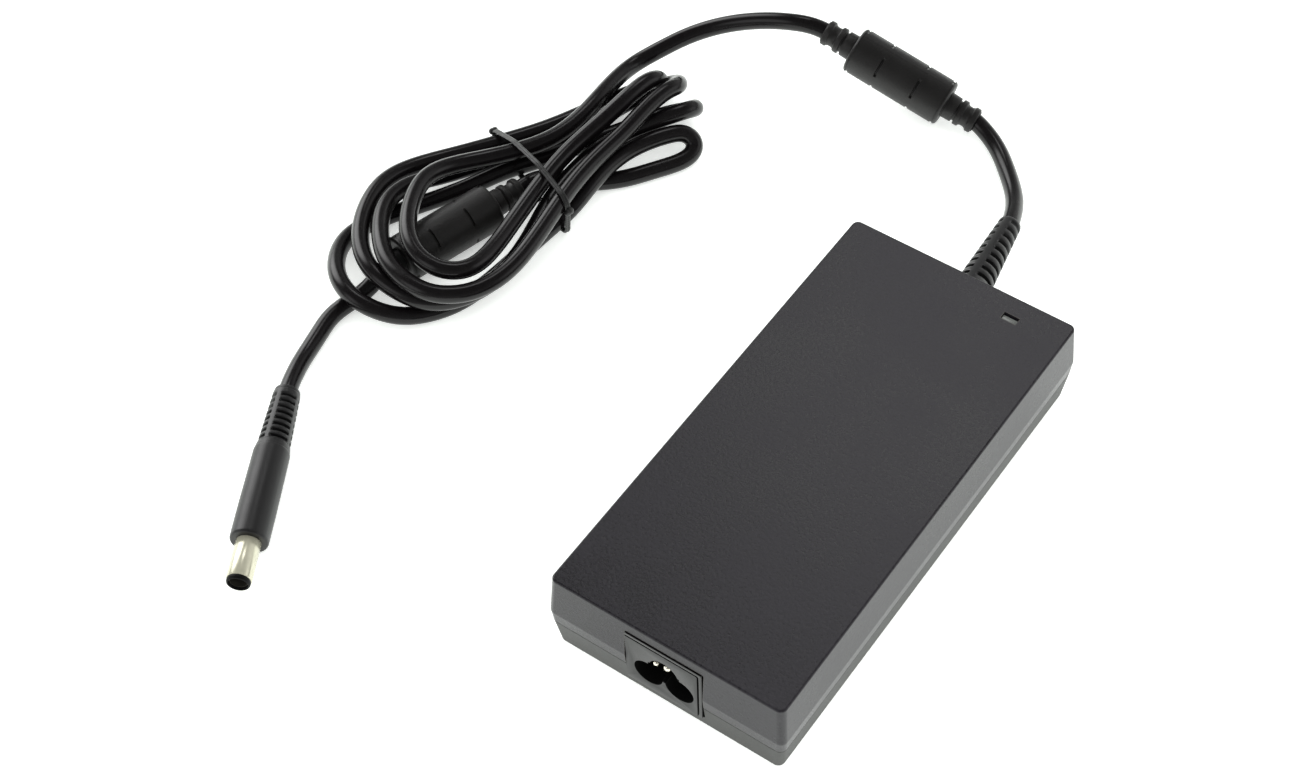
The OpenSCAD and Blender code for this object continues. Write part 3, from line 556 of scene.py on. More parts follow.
# the coil, in its own directions (along, across, height)
COIL_RUN = [
    # turn 1
    [42, -21.8, 8.8], [31.5, -15.4, 10.7], [21, -10.8, 10.8], [10.5, -9, 10.6],
    [0, -10.4, 10.3], [-10, -12.6, 10.6], [-20.5, -14, 12.2], [-31, -11.5, 14.8],
    [-40.5, -2.5, 17], [-47, 8.5, 18.8], [-48.8, 18.5, 19], [-45.5, 27, 18.6],
    [-38, 30.3, 17.6], [-28.5, 26.5, 15.8], [-18, 19.5, 14.6],
    # bend 1
    [-7.5, 12.7, 14.4], [3, 6.4, 14.3], [14, 1.3, 14.6], [27, -2.5, 16], [38, -5.5, 17.8],
    [46, -7.8, 18], [50.6, -8.8, 16.4], [52.6, -10.4, 12.8], [50.8, -12, 9.2],
    [46, -13.2, 6.9], [37, -14, 4.8], [26, -14, 3], [14, -14, 3.4],
    # turn 2
    [1, -15.6, 4.1], [-12, -17.3, 4], [-24, -18, 5.4], [-34, -17.5, 8], [-43, -13.5, 10.4],
    [-50, -5.5, 12.4], [-55, 5.5, 14.8], [-57, 17, 16.2], [-54, 28.5, 16.4],
    [-47.5, 34.8, 15.8], [-38.5, 37.2, 15.2], [-27, 35, 14.8], [-15.5, 29, 14.8],
    # bend 2
    [-5, 22.3, 15], [5, 16, 15], [17, 10, 15], [30, 5, 15.2], [41, 0.5, 16.2],
    [50, -2.4, 16.4], [55.4, -4.2, 14.6], [58.4, -8.8, 10.4], [56.8, -14, 5.8],
    [51.4, -18, 3.3], [44.5, -19.6, 2.9],
    # turn 3
    [37, -19.8, 2.8], [24, -20, 2.8], [12, -20.3, 3.4], [-2, -22, 4.1], [-15, -24.5, 4.2],
    [-29, -26, 5.5], [-41.5, -22.5, 8], [-52, -13.5, 9.4], [-59, -2, 10.8], [-61.5, 10, 12],
    [-58.5, 21, 10.8], [-51, 29.8, 9.5], [-39.3, 33, 9.1], [-27, 30.5, 9],
    # bend 3
    [-15, 23.8, 9.2], [-4, 15.6, 9.8], [6, 9.4, 10], [18, 3.8, 9.4], [31, 0.5, 9],
    [42, 1.4, 10.2], [50.5, 3.4, 11.4], [56.4, 3.2, 10.2], [58.8, 0.8, 7], [57, -2.2, 4.3],
    [51.4, -4.8, 3.2], [43, -6.1, 2.9],
    # turn 4
    [34, -6.8, 2.8], [22, -8, 2.8], [10, -8.4, 3.6], [-4, -9.9, 4.2], [-19, -11, 3.2],
    [-34, -12.8, 2.8], [-47, -14, 2.8], [-58, -12.5, 3.5], [-66, -5, 6], [-70.5, 5.5, 8.8],
    [-70, 16, 9], [-64, 24, 6.5], [-55, 28, 4], [-43, 29, 2.8], [-31, 26.8, 2.8],
    # bend 4
    [-18, 22.5, 2.9], [-6, 19, 4.1], [5, 16.4, 6.4], [16, 11.8, 8.6], [28, 7.5, 8.6],
    [38, 6.8, 8.6], [45, 7.6, 8.4], [49.6, 8.8, 7.6], [51.8, 11.2, 5.6], [50.4, 13.8, 3.6],
    [45, 15, 2.9], [36.5, 13.8, 2.8], [27, 12, 2.8],
    # on to the second ferrite
    [18, 8.4, 2.8], [11, 4.6, 4.2], [5.6, 2.3, 6.4]]
AFTER_FERRITE_2 = [-65, 10.9, 4]        # (along, across, height)
# on to the plug (x, y, z)
TAIL_RUN = [[-160.2, -21.5, 2.8], [-159.2, -30.5, 2.8], [-157.2, -39, 3.2], [-154.8, -46.2, 4.4]]

ROUTE = np.array([np.array(p, float) for p in (
    LEAD_RUN + FLEX_RUN + [coil_point(q) for q in COIL_RUN]
    + on_line(FERRITE_2, FERRITE_2_AXIS, (-33.6, -28.6, -19.9, -8.9, 3.1, 13.1, 18.1, 23))
    + [coil_point(AFTER_FERRITE_2)] + TAIL_RUN + on_line(PLUG_START, PLUG_AXIS, (-1, 4, 8.5)))])


def spline(route, steps):
    """Cubic B-spline through the route's points, kept a cable radius above the floor."""
    control = route.copy()
    for _ in range(10):
        reached = control.copy()
        reached[1:-1] = (control[:-2] + 4 * control[1:-1] + control[2:]) / 6
        control = control + (route - reached)
    padded = np.vstack([2 * control[0] - control[1], control, 2 * control[-1] - control[-2]])
    out = []
    for i in range(len(control) - 1):
        a, b, c, d = padded[i:i + 4]
        for k in range(steps):
            t = k / steps
            p = (a * (1 - t) ** 3 + b * (3 * t ** 3 - 6 * t * t + 4)
                 + c * (-3 * t ** 3 + 3 * t * t + 3 * t + 1) + d * t ** 3) / 6
            p[2] = max(p[2], CABLE_R)
            out.append(p)
    return np.array(out)


CAD_STEPS = 3
STEPS = 3 * CAD_STEPS            # the CAD's stations are every third one
curve = spline(ROUTE, STEPS)
lead_end = len(LEAD_RUN) * STEPS + STEPS // CAD_STEPS
flex_end = (len(LEAD_RUN) + len(FLEX_RUN) - 1) * STEPS
coil_end = len(curve) - STEPS // CAD_STEPS
# CAD node, first and last station, body it rides (none for the flexing stretch, which is baked in
# place)
CABLE_PIECES = (("lead_cable", 0, lead_end, "lead"), ("flex_cable", lead_end, flex_end, None),
                ("coil_cable", flex_end, coil_end, "coil"))

# stop if the CAD's cable does not lie where this route does
MAX_STRAY = 2.9
for node, first, last, _ in CABLE_PIECES:
    low, high = box_mm(node)
    run = curve[first:last + 1]
    stray = max(np.abs(run.min(0) - CABLE_R - low).max(), np.abs(run.max(0) + CABLE_R - high).max())
    if stray > MAX_STRAY:
        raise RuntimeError(f"the visual cable strays {stray:.1f} mm from {node}")

# light smoothing removes the kinks that the height limit leaves
for _ in range(3):
    curve[1:-1] = 0.25 * curve[:-2] + 0.5 * curve[1:-1] + 0.25 * curve[2:]
curve[:, 2] = np.maximum(curve[:, 2], CABLE_R)

for node, first, last, body in CABLE_PIECES:
    cable = sweep(node + "_jacket", curve[first:last + 1], CABLE_R, "cable_jacket", n=28)
    register(cable, body, node)
    if body is None:
        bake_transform(cable)

# ============================================================ case shells
low, high = box_mm("top_shell")
HALF_WIDTH, HALF_LENGTH = (high[0] - low[0]) / 2, (high[1] - low[1]) / 2
CENTRE_X, CENTRE_Y = (high[0] + low[0]) / 2, (high[1] + low[1]) / 2
CASE_TOP = high[2]
INLET_END = -HALF_LENGTH         # y of the case's -Y end
PART_Z, WIDE_Z = 10.6, 15.0      # heights of the joint line and of the widest section
WALL, CORNER, INNER_CORNER = 2.2, 2.2, 0.7
TOP_EDGE_R, TOP_EDGE_STEPS = 0.65, 7
INLET_X, INLET_Z0, INLET_Z1 = 12.3, 4.7, 26.1    # inlet plate: half width, bottom and top


def shell_ring(z, inset, r, steps=14):
    """Rounded rectangle at height z, inset from the case's greatest outline."""
    r = max(r, 0.3)
    points = []
    for quarter in range(4):
        cx = (HALF_WIDTH - inset - r) * (1 if quarter in (0, 3) else -1)
        cy = (HALF_LENGTH - inset - r) * (1 if quarter < 2 else -1)
        for k in range(steps + 1):
            a = math.radians(90 * quarter + 90 * k / steps)
            points.append((CENTRE_X + cx + r * math.cos(a), CENTRE_Y + cy + r * math.sin(a), z))
    return points


def shell_verts(rows):
    """The vertices of all the rings, and how many each ring has."""
    rings = [shell_ring(*row) for row in rows]
    return [v for ring in rings for v in ring], len(rings[0])


def shell(name, outer, inner, material):
    """Closed tray: both lists of (z, inset, r) run from the open rim to the closed face."""
    verts, n = shell_verts(outer + inner)
    split, end = len(outer), len(outer) + len(inner)
    faces = []
    for j in range(split - 1):
        faces += band(j * n, (j + 1) * n, n)
    for j in range(split, end - 1):
        faces += band((j + 1) * n, j * n, n)
    faces += band(split * n, 0, n)
    faces += [cap((split - 1) * n, n), cap((end - 1) * n, n)[::-1]]
    return mesh_object(name, verts, faces, material, sharp=28)


def inlet_hole():
    outline = rounded_outline(-INLET_X - 0.16, INLET_X + 0.42, INLET_Z0 - 0.16, INLET_Z1 + 0.45, 0.5)
    return prism("hole", outline, (INLET_END - 3, INLET_END + 8), along_y)


def lead_hole(r=6.2):
    return revolve("hole", [(-9, r), (10, r)], RELIEF_START, RELIEF_AXIS)


def lens_hole():
    outline = rounded_outline(17.2, 22.2, 67.4, 70.0, 0.25, 4)
    return prism("hole", outline, (CASE_TOP - 6, CASE_TOP + 3), upright)


def underside_recess():
    return prism("hole", rounded_outline(-24, 24, -46, 46, 1.0), (-2, 0.25), upright)


# rows of (z, inset, corner radius)
top_rim = PART_Z + 0.1
top_outer = [
    (top_rim, 0.46, CORNER), (top_rim + 0.07, 0.39, CORNER), (WIDE_Z - 0.5, 0.09, CORNER),
    (WIDE_Z - 0.15, 0.035, CORNER), (WIDE_Z + 0.2, 0.02, CORNER), (WIDE_Z + 0.7, 0.045, CORNER)]
for k in range(TOP_EDGE_STEPS + 1):
    a = math.radians(90 * k / TOP_EDGE_STEPS)
    top_outer.append((CASE_TOP - TOP_EDGE_R + TOP_EDGE_R * math.sin(a),
                      0.94 + TOP_EDGE_R * (1 - math.cos(a)), CORNER - 0.45 * k / TOP_EDGE_STEPS))
top_inner = [(top_rim, WALL + 0.1, INNER_CORNER), (WIDE_Z, WALL + 0.1, INNER_CORNER),
             (CASE_TOP - WALL, WALL + 0.95, INNER_CORNER)]
bottom_rim = PART_Z - 0.1
bottom_outer = [
    (bottom_rim, 0.49, CORNER), (bottom_rim - 0.07, 0.42, CORNER), (0.75, 1.62, CORNER),
    (0.35, 1.72, CORNER - 0.1), (0.1, 1.92, CORNER - 0.35), (0.0, 2.2, CORNER - 0.6)]
bottom_inner = [(bottom_rim, WALL + 1.2, INNER_CORNER), (WALL, WALL + 1.9, INNER_CORNER)]
top = shell("case_top_shell", top_outer, top_inner, "case_top")
bottom = shell("case_bottom_shell", bottom_outer, bottom_inner, "case_bottom")
boolean(top, "DIFFERENCE", [inlet_hole(), lead_hole(), lens_hole()])
boolean(bottom, "DIFFERENCE", [inlet_hole(), lead_hole(), underside_recess()])
for obj, slot, node in ((top, "case_top", "top_shell"), (bottom, "case_bottom", "bottom_shell")):
    shade(obj.data, 28)
    modifier = obj.modifiers.new("normals", "WEIGHTED_NORMAL")
    modifier.keep_sharp = True
    modifier.weight = 60
    apply_modifiers(obj)
    register(obj, "adapter", node)

# the lip inside the joint line and the board's posts belong to the lower shell
LIP_ROWS = [(PART_Z - 2, WALL + 1.1, 0.7), (PART_Z + 1.8, WALL + 0.25, 0.7),
            (PART_Z + 1.8, WALL + 1.25, 0.4), (PART_Z - 2, WALL + 1.7, 0.4)]
verts, n = shell_verts(LIP_ROWS)
faces = [face for j in range(4) for face in band(j * n, (j + 1) % 4 * n, n)]
lip = mesh_object("case_bottom_lip", verts, faces, "case_bottom", sharp=30)
boolean(lip, "DIFFERENCE", [inlet_hole(), lead_hole(8.1)])
register(lip, "adapter")

POST_PROFILE = [(0, 2.4), (4.3, 2.4), (4.35, 1.3), (7.0, 1.3), (7.2, 1.0)]   # (height, r)
POST_PLACES = [(x, y) for x in (-28, 28) for y in (-50, 64)]
for number, (x, y) in enumerate(POST_PLACES, 1):
    post = revolve(f"board_post_{number}", fillet_profile(POST_PROFILE, 0.15),
                   (x, y, 1.9), (0, 0, 1), "case_bottom", n=32)
    register(post, "adapter")

# ---- indicator lens: a light pipe with softened edges, on a narrower stem
low, high = box_mm("led_lens")
lens = prism("indicator_lens", rounded_outline(low[0], high[0], low[1], high[1], 0.3, 4),
             (high[2] - 2.2, high[2]), upright, "light_pipe")
stem_outline = rounded_outline(low[0] + 0.85, high[0] - 0.85, low[1] + 0.05, high[1] - 0.05, 0.2, 3)
boolean(lens, "UNION", [prism("stem", stem_outline, (low[2], high[2] - 2.0), upright)])
soften(lens, width=0.12, angle=32)
register(lens, "adapter", "led_lens")

# ============================================================ mains inlet
PLATE_Y = box_mm("inlet_housing")[0][1]          # outer face of the plate
live_low, live_high = box_mm("inlet_live_pin")
PIN_Z = (live_low[2] + live_high[2]) / 2
PIN_PITCH, EARTH_RISE, LOBE_R = 10.0, 4.4, 4.6
PIN_R, PIN_HOLE_R = 1.18, 1.22
PIN_PLACES = ((-PIN_PITCH / 2, 0), (PIN_PITCH / 2, 0), (0, EARTH_RISE))   # (x, rise)
MOUTH_END = INLET_END + 15.5     # y of the bottom of the mouth
GROOVE_INSET, GROOVE_WIDTH, GROOVE_DEPTH = 0.95, 0.6, 0.9


def block(outline, y0, y1):
    return prism("block", outline, (y0, y1), along_y)


def rods(r, y0, y1):
    """A round bar along Y at each pin's place."""
    return [revolve("rod", [(y0, r), (y1, r)], (x, 0, PIN_Z + rise), (0, 1, 0), n=56)
            for x, rise in PIN_PLACES]


def frame_groove():
    """Cutter for a groove along the plate's +X and +Z edges; it passes outside the others."""
    x0, x1 = -INLET_X - 4, INLET_X - GROOVE_INSET
    z0, z1 = INLET_Z0 - 4, INLET_Z1 - GROOVE_INSET
    w = GROOVE_WIDTH
    outside = block(rounded_outline(x0, x1, z0, z1, 0.6, 4), INLET_END - 2, PLATE_Y + GROOVE_DEPTH)
    inside = block(rounded_outline(x0 + w, x1 - w, z0 + w, z1 - w, 0.4, 4),
                   INLET_END - 4, PLATE_Y + GROOVE_DEPTH + 2)
    return boolean(outside, "DIFFERENCE", [inside])


def is_shadowed(x, y, z):
    """Whether a face is in the mouth, in the groove or beside the gap round the plate."""
    mouth = INLET_END + 1.35 < y < MOUTH_END + 0.3 and abs(x) < 9.8 and 7.5 < z < 21.8
    groove = PLATE_Y + 0.16 < y < PLATE_Y + 1.0 and (x > INLET_X - 1.7 or z > INLET_Z1 - 1.7)
    gap = PLATE_Y + 0.3 < y < PLATE_Y + 3.6 and (x > INLET_X - 0.05 or z > INLET_Z1 - 0.05)
    return mouth or groove or gap


inlet = prism("mains_inlet", rounded_outline(-INLET_X, INLET_X, INLET_Z0, INLET_Z1, 0.5, 5),
              (PLATE_Y, PLATE_Y + 3.5), along_y, "inlet_plastic")
inlet_body = block(rounded_outline(-11.2, 11.2, 6, 23.6, 1.2, 5), INLET_END + 3.5, INLET_END + 20.5)
ears = block(rounded_outline(-14, 14, 7, 22, 0.8, 4), INLET_END + 4.4, INLET_END + 6.4)
boolean(inlet, "UNION", [inlet_body, ears])
web = block(rounded_outline(-PIN_PITCH / 2, PIN_PITCH / 2, PIN_Z - 0.4, PIN_Z + 5.6, 0.3, 3),
            INLET_END - 2, MOUTH_END)
boolean(inlet, "DIFFERENCE", [frame_groove()] + rods(LOBE_R, INLET_END - 2, MOUTH_END) + [web]
        + rods(PIN_HOLE_R, INLET_END + 12, INLET_END + 26))
soften(inlet, width=0.14, angle=35)
inlet.data.materials.append(MATERIALS["inlet_shadow"])
for polygon in inlet.data.polygons:
    if is_shadowed(*(c / MM for c in polygon.center)):
        polygon.material_index = 1
register(inlet, "adapter", "inlet_housing")


def inlet_pin(name):
    """Round-nosed pin with a flat tag at its inner end."""
    low, high = box_mm("inlet_" + name)
    x, z = (low[0] + high[0]) / 2, high[2] - PIN_R
    profile = [(low[1], 0.12)]
    for a in np.radians([12, 25, 38, 50, 62, 75, 90]):
        profile.append((low[1] + PIN_R * (1 - math.cos(a)) * 0.9, PIN_R * math.sin(a)))
    profile += [(MOUTH_END + 4.9, PIN_R), (MOUTH_END + 5.0, 1.05)]
    pin = revolve(name, profile, (x, 0, z), (0, 1, 0), "contact_metal", n=40)
    tag = prism("tag", rounded_outline(-1.2, 1.2, -0.4, 0.4, 0.1, 2),
                (MOUTH_END + 4.5, MOUTH_END + 8.4), lambda a, b, c: np.array([x + a, c, z + b]))
    boolean(pin, "UNION", [tag])
    register(pin, "adapter", "inlet_" + name)


for name in ("live_pin", "neutral_pin", "earth_pin"):
    inlet_pin(name)

# ============================================================ ribbed bend reliefs
SLOT_EDGE = 0.22                 # rounding at each side of a slot
RELIEF_BORE_R = 3.0


def relief(name, origin, axis, ribbed, radius_at, slots, slot_width, strips, strip_half_width,
           roll, floor_r, head, tail, n):
    """Tapered moulding cut by slots down to floor_r over the ribbed (start, end) length.
    Strips along it stay whole. head and tail are the (t, r) profiles beyond the ribs."""
    start, end = ribbed
    e, round_e = SLOT_EDGE, SLOT_EDGE * 0.8
    marks = {round(start, 4), round(end, 4)}
    for s in slots:
        stop = s + slot_width
        for t in (s - e, s, s + round_e, s + slot_width / 2, stop - round_e, stop, stop + e):
            marks.add(round(t, 4))
    stations = sorted(marks)
    stations += [(a + b) / 2 for a, b in zip(stations, stations[1:]) if b - a > 0.9]
    stations.sort()

    def shape(t, a, r):
        if not start <= t <= end:
            return r
        turn = wrapped(a - math.radians(roll), 2 * math.pi / strips)
        side = math.sin(min(abs(turn), math.pi / 2)) * r
        cut = smoothstep((side - strip_half_width) / 0.35)
        for s in slots:
            if s - e < t < s + slot_width + e:
                if s + 1e-6 < t < s + slot_width - 1e-6:
                    deep = smoothstep(min(t - s, s + slot_width - t) / round_e)
                    return r - 0.12 * cut - (r - 0.12 - floor_r) * cut * deep
                return r - 0.12 * cut * smoothstep((e - max(s - t, t - s - slot_width)) / e)
        return r

    profile = head + [(t, radius_at(t)) for t in stations] + tail
    bore = [(profile[0][0], RELIEF_BORE_R), (profile[-1][0], RELIEF_BORE_R)]
    return revolve(name, profile, origin, axis, "relief_rubber", n, shape, sharp=55, bore=bore)


def blend_relief(obj, node):
    """Hides the relief's CAD node and bakes the relief in place; it rides no body."""
    register(obj, node=node)
    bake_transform(obj)


output_relief = relief(
    "output_relief", RELIEF_START, RELIEF_AXIS, ribbed=(0.3, RELIEF_LENGTH - 0.5),
    radius_at=lambda t: 5.9 + (3.55 - 5.9) * max(0.0, t) / RELIEF_LENGTH,
    slots=[7.9 + k * 3.53 for k in range(9)], slot_width=1.5,
    strips=2, strip_half_width=1.2, roll=-10, floor_r=3.06,
    head=fillet_profile([(-7.4, 7.0), (-7.4, 7.4), (-5.0, 7.4), (-5.0, 5.7), (0.2, 5.75)], 0.2, 3),
    tail=fillet_profile([(RELIEF_LENGTH - 0.45, 3.56), (RELIEF_LENGTH, 3.5),
                         (RELIEF_LENGTH, 3.2)], 0.3, 3), n=96)
blend_relief(output_relief, "output_bend_relief")
plug_relief = relief(
    "plug_relief", PLUG_START, PLUG_AXIS, ribbed=(1.6, PLUG_RELIEF_LENGTH - 0.35),
    radius_at=lambda t: 4.0 + 0.85 * t / PLUG_RELIEF_LENGTH,
    slots=[3.2 + k * 2.21 for k in range(8)], slot_width=1.05,
    strips=4, strip_half_width=0.7, roll=18, floor_r=3.05,
    head=fillet_profile([(0, 3.3), (0, 3.8), (0.9, 3.95), (1.2, 3.88), (1.5, 4.04)], 0.2, 3),
    tail=[(PLUG_RELIEF_LENGTH - 0.1, 4.84)], n=120)
blend_relief(plug_relief, "plug_bend_relief")

# ============================================================ moulded ferrites
FERRITE_R, FERRITE_EDGE = 7.65, 1.15
# moulding slots: (place along the axis, the quarter turns that have one)
FERRITE_SLOTS = ((-6.6, (0, 1, 2, 3)), (6.6, (0, 1, 2, 3)), (-15.8, (1, 3)), (15.8, (1, 3)))
# grooved sleeve: (distance from the body's end, r)
SLEEVE_START = [(0, 4.32), (3.35, 4.22), (3.6, 4.05)]
SLEEVE_MIDDLE = [(3.66, 3.45), (4.34, 3.45), (4.4, 4.15), (4.65, 4.36), (5.95, 4.34),
                 (6.2, 4.15), (6.35, 3.75), (6.9, 3.48), (8.0, 3.46)]
# its far end: (distance back from the sleeve's end, r)
SLEEVE_END = [(2.35, 3.75), (2.2, 4.05), (1.95, 4.24), (0.6, 4.2), (0.32, 4.0), (0.26, 3.62)]


def sleeve(length, side):
    if length > 9:
        rows = SLEEVE_START + SLEEVE_MIDDLE + [(length - t, r) for t, r in SLEEVE_END]
    else:
        rows = SLEEVE_START + [(3.75, 3.6)]
    return [(side * (FERRITE_LENGTH / 2 + t), r) for t, r in rows + [(length, 3.5)]]


def ferrite(number, centre, axis, roll, far_sleeve, body):
    """Round-edged body with a sleeve at each end; far_sleeve is the length of the one at +t."""
    half, edge = FERRITE_LENGTH / 2, FERRITE_EDGE

    def shape(t, a, r):
        """Cuts the slots and raises a fine parting ridge along two sides."""
        a = a - math.radians(roll)
        for place, quarters in FERRITE_SLOTS:
            deep = smoothstep((0.46 - abs(t - place)) / 0.12)
            if deep > 0 and r > FERRITE_R - 0.5:
                for quarter in quarters:
                    off = abs(wrapped(a - quarter * math.pi / 2)) * FERRITE_R
                    r = r - 0.8 * deep * smoothstep((3.5 - off) / 0.35)
        for side in (0, math.pi):
            off = wrapped(a - math.radians(52) - side)
            if abs(t) < half - 1.3:
                r = r + 0.05 * smoothstep((0.35 - abs(off) * r) / 0.3)
        return r

    edge_rows = [(edge * (1 - math.cos(a)), FERRITE_R - edge * (1 - math.sin(a)))
                 for a in np.radians([18, 36, 54, 72, 90])]
    stations = [-13, -10.5, -8.4, -4, -1.5, 1.5, 4, 8.4, 10.5, 13]
    for place, _ in FERRITE_SLOTS:
        stations += [place + k for k in
                     (-0.52, -0.46, -0.4, -0.34, -0.2, 0, 0.2, 0.34, 0.4, 0.46, 0.52)]
    profile = sleeve(SLEEVE_LENGTH, -1)[::-1] + [(-half, FERRITE_R - edge)]
    profile += [(-half + t, r) for t, r in edge_rows]
    profile += [(t, FERRITE_R) for t in sorted(stations)]
    profile += [(half - t, r) for t, r in edge_rows[::-1]]
    profile += [(half, FERRITE_R - edge)] + sleeve(far_sleeve, 1)
    # widened over the middle, with a bell mouth at each end
    near_end, far_end = -half - SLEEVE_LENGTH, half + far_sleeve
    bore = [(near_end, 3.4), (near_end + 3, 3.0), (-14.0, 3.0), (-14.0, 6.2),
            (14.0, 6.2), (14.0, 3.0), (far_end - 3, 3.0), (far_end, 3.4)]
    obj = revolve(f"ferrite_moulding_{number}", profile, centre, axis, "overmould", 128, shape,
                  sharp=38, bore=bore)
    register(obj, body, f"ferrite_cover_{number}")


ferrite(1, FERRITE_1, FERRITE_1_AXIS, roll=130.5, far_sleeve=SLEEVE_LENGTH, body="lead")
ferrite(2, FERRITE_2, FERRITE_2_AXIS, roll=143.8, far_sleeve=SHORT_SLEEVE_LENGTH, body="coil")

# ============================================================ plug
# All profiles are (t, r); the grip's start at its cable end, the others' at its barrel end.
GRIP_START = PLUG_START + PLUG_RELIEF_LENGTH * PLUG_AXIS
BARREL_START = PLUG_START + (PLUG_RELIEF_LENGTH + GRIP_LENGTH) * PLUG_AXIS
GRIP_PROFILE = [
    (0, 4.85), (0.25, 4.97), (1.6, 5.18), (1.95, 5.2), (2.3, 5.36), (3.0, 5.41), (9, 5.48),
    (16, 5.56), (24, GRIP_R), (GRIP_LENGTH - 2.2, GRIP_R), (GRIP_LENGTH - 0.8, GRIP_R),
    (GRIP_LENGTH - 0.3, GRIP_R - 0.12), (GRIP_LENGTH - 0.05, GRIP_R - 0.4),
    (GRIP_LENGTH, GRIP_R - 0.7)]
GRIP_SOCKET = GRIP_LENGTH - 12.1         # where the bore widens for the barrel
GRIP_BORE = [(0, 1.7), (GRIP_SOCKET, 1.7), (GRIP_SOCKET, 3.5), (GRIP_LENGTH, 3.5)]
BARREL_PROFILE = [
    (-12.0, 3.45), (0.02, 3.45), (0.02, BARREL_R - 0.05), (0.1, BARREL_R),
    (BARREL_LENGTH - 0.35, BARREL_R), (BARREL_LENGTH - 0.08, BARREL_R - 0.1),
    (BARREL_LENGTH, BARREL_R - 0.22)]
BARREL_BORE = [(-12.0, 3.2), (BARREL_LENGTH, 3.2)]
TIP_PROFILE = [
    (-11.95, 3.17), (BARREL_LENGTH + 0.04, 3.17), (BARREL_LENGTH + 0.05, 3.46),
    (BARREL_LENGTH + 0.3, 3.52), (BARREL_LENGTH + 0.8, 3.5), (BARREL_LENGTH + 1.2, 3.36),
    (BARREL_LENGTH + 1.4, 3.1)]
TIP_BORE = [(-11.95, 0.35), (-2.05, 0.35), (-2.05, 2.8), (BARREL_LENGTH + 1.2, 2.8),
            (BARREL_LENGTH + 1.4, 2.95)]
CONTACT_PROFILE = [(-2.0, 2.77), (BARREL_LENGTH + 0.3, 2.77), (BARREL_LENGTH + 0.5, 2.68)]
CONTACT_BORE = [(-2.0, 2.5), (BARREL_LENGTH + 0.5, 2.5)]
PIN_PROFILE = [(-11, 0.3), (BARREL_LENGTH - 2.4, 0.3), (BARREL_LENGTH - 2.1, 0.22),
               (BARREL_LENGTH - 2.0, 0.1)]


def grip_shape(t, a, r):
    """A faint ridge on two sides, where the mould halves meet."""
    if not 3.4 < t < GRIP_LENGTH - 2:
        return r
    off = abs(wrapped(a - math.radians(115), math.pi)) * r
    return r + 0.04 * smoothstep((0.3 - off) / 0.25)


def subdivided(profile, step):
    """Adds even stations where the profile's rows lie two or more steps apart."""
    out = []
    for a, b in zip(profile, profile[1:]):
        parts = max(1, int((b[0] - a[0]) / step))
        out += [(a[0] + (b[0] - a[0]) * i / parts, a[1] + (b[1] - a[1]) * i / parts)
                for i in range(parts)]
    return out + [profile[-1]]


grip = revolve("plug_grip_moulding", subdivided(fillet_profile(GRIP_PROFILE, 0.35), 2.5),
               GRIP_START, PLUG_AXIS, "plug_plastic", 96, grip_shape, sharp=50, bore=GRIP_BORE)
register(grip, "plug", "plug_grip")
# name, profile, bore, material, segments, slot, CAD node
for name, profile, bore, material, n, slot, node in (
        ("plug_barrel_sleeve", BARREL_PROFILE, BARREL_BORE, "barrel_nickel", 96,
         "barrel_nickel", "plug_barrel"),
        ("plug_tip_insulator", TIP_PROFILE, TIP_BORE, "tip_insulator", 80,
         "tip_insulator", "plug_insulator"),
        # the inner sleeve and the pin keep the barrel's nickel slot, but take the dark metal that
        # paints the shade inside the tip
        ("plug_inner_sleeve", CONTACT_PROFILE, CONTACT_BORE, "inner_contact", 72,
         "barrel_nickel", "plug_inner_contact"),
        ("plug_pin", PIN_PROFILE, None, "inner_contact", 32,
         "barrel_nickel", "plug_centre_pin")):
    obj = revolve(name, profile, BARREL_START, PLUG_AXIS, material, n, bore=bore)
    register(obj, "plug", node)

# ============================================================ coil tie
# centres (across, height) of the circles that the loop is stretched round
TIE_RIM = [(-22.2, 4.1), (-15.3, 4.1), (-10.3, 10.3), (4.7, 14.4), (19.6, 15), (18.4, 4.9),
           (3.4, 4.6)]
TIE_RIM_R = 3.72
TIE_STATIONS, CORD_SEGMENTS = 260, 28
CORD_HALF_WIDTH, CORD_HALF_HEIGHT = 0.92, 0.42


def convex_hull(points):
    points = sorted(set((round(a, 5), round(b, 5)) for a, b in points))

    def half(sequence):
        out = []
        for q in sequence:
            while len(out) > 1:
                (x0, y0), (x1, y1) = out[-2:]
                if (x1 - x0) * (q[1] - y0) - (y1 - y0) * (q[0] - x0) > 0:
                    break
                out.pop()
            out.append(q)
        return out[:-1]
    return half(points) + half(points[::-1])


def even_loop(loop, count):
    """count points in even steps round a closed loop."""
    closed = loop + [loop[0]]
    lengths = [math.dist(a, b) for a, b in zip(closed, closed[1:])]
    total = sum(lengths)
    points, i, passed = [], 0, 0.0
    for k in range(count):
        want = total * k / count
        while passed + lengths[i] < want:
            passed += lengths[i]
            i += 1
        f = (want - passed) / lengths[i]
        a, b = closed[i:i + 2]
        points.append((a[0] + f * (b[0] - a[0]), a[1] + f * (b[1] - a[1])))
    return np.array(points)


circles = [(s + TIE_RIM_R * math.cos(a), z + TIE_RIM_R * math.sin(a))
           for s, z in TIE_RIM for a in np.radians(np.arange(0, 360, 6))]
tie_path = even_loop(convex_hull(circles), TIE_STATIONS)
for _ in range(3):
    tie_path = 0.25 * np.roll(tie_path, 1, 0) + 0.5 * tie_path + 0.25 * np.roll(tie_path, -1, 0)
tie_normals = np.roll(tie_path, -1, 0) - np.roll(tie_path, 1, 0)
tie_normals = np.stack([tie_normals[:, 1], -tie_normals[:, 0]], 1)
tie_normals /= np.linalg.norm(tie_normals, axis=1)[:, None]


def tie_station(j):
    """The place of station j and its outward direction."""
    place = coil_point((0, *tie_path[j]))
    return place, coil_point((0, *(tie_path[j] + tie_normals[j]))) - place


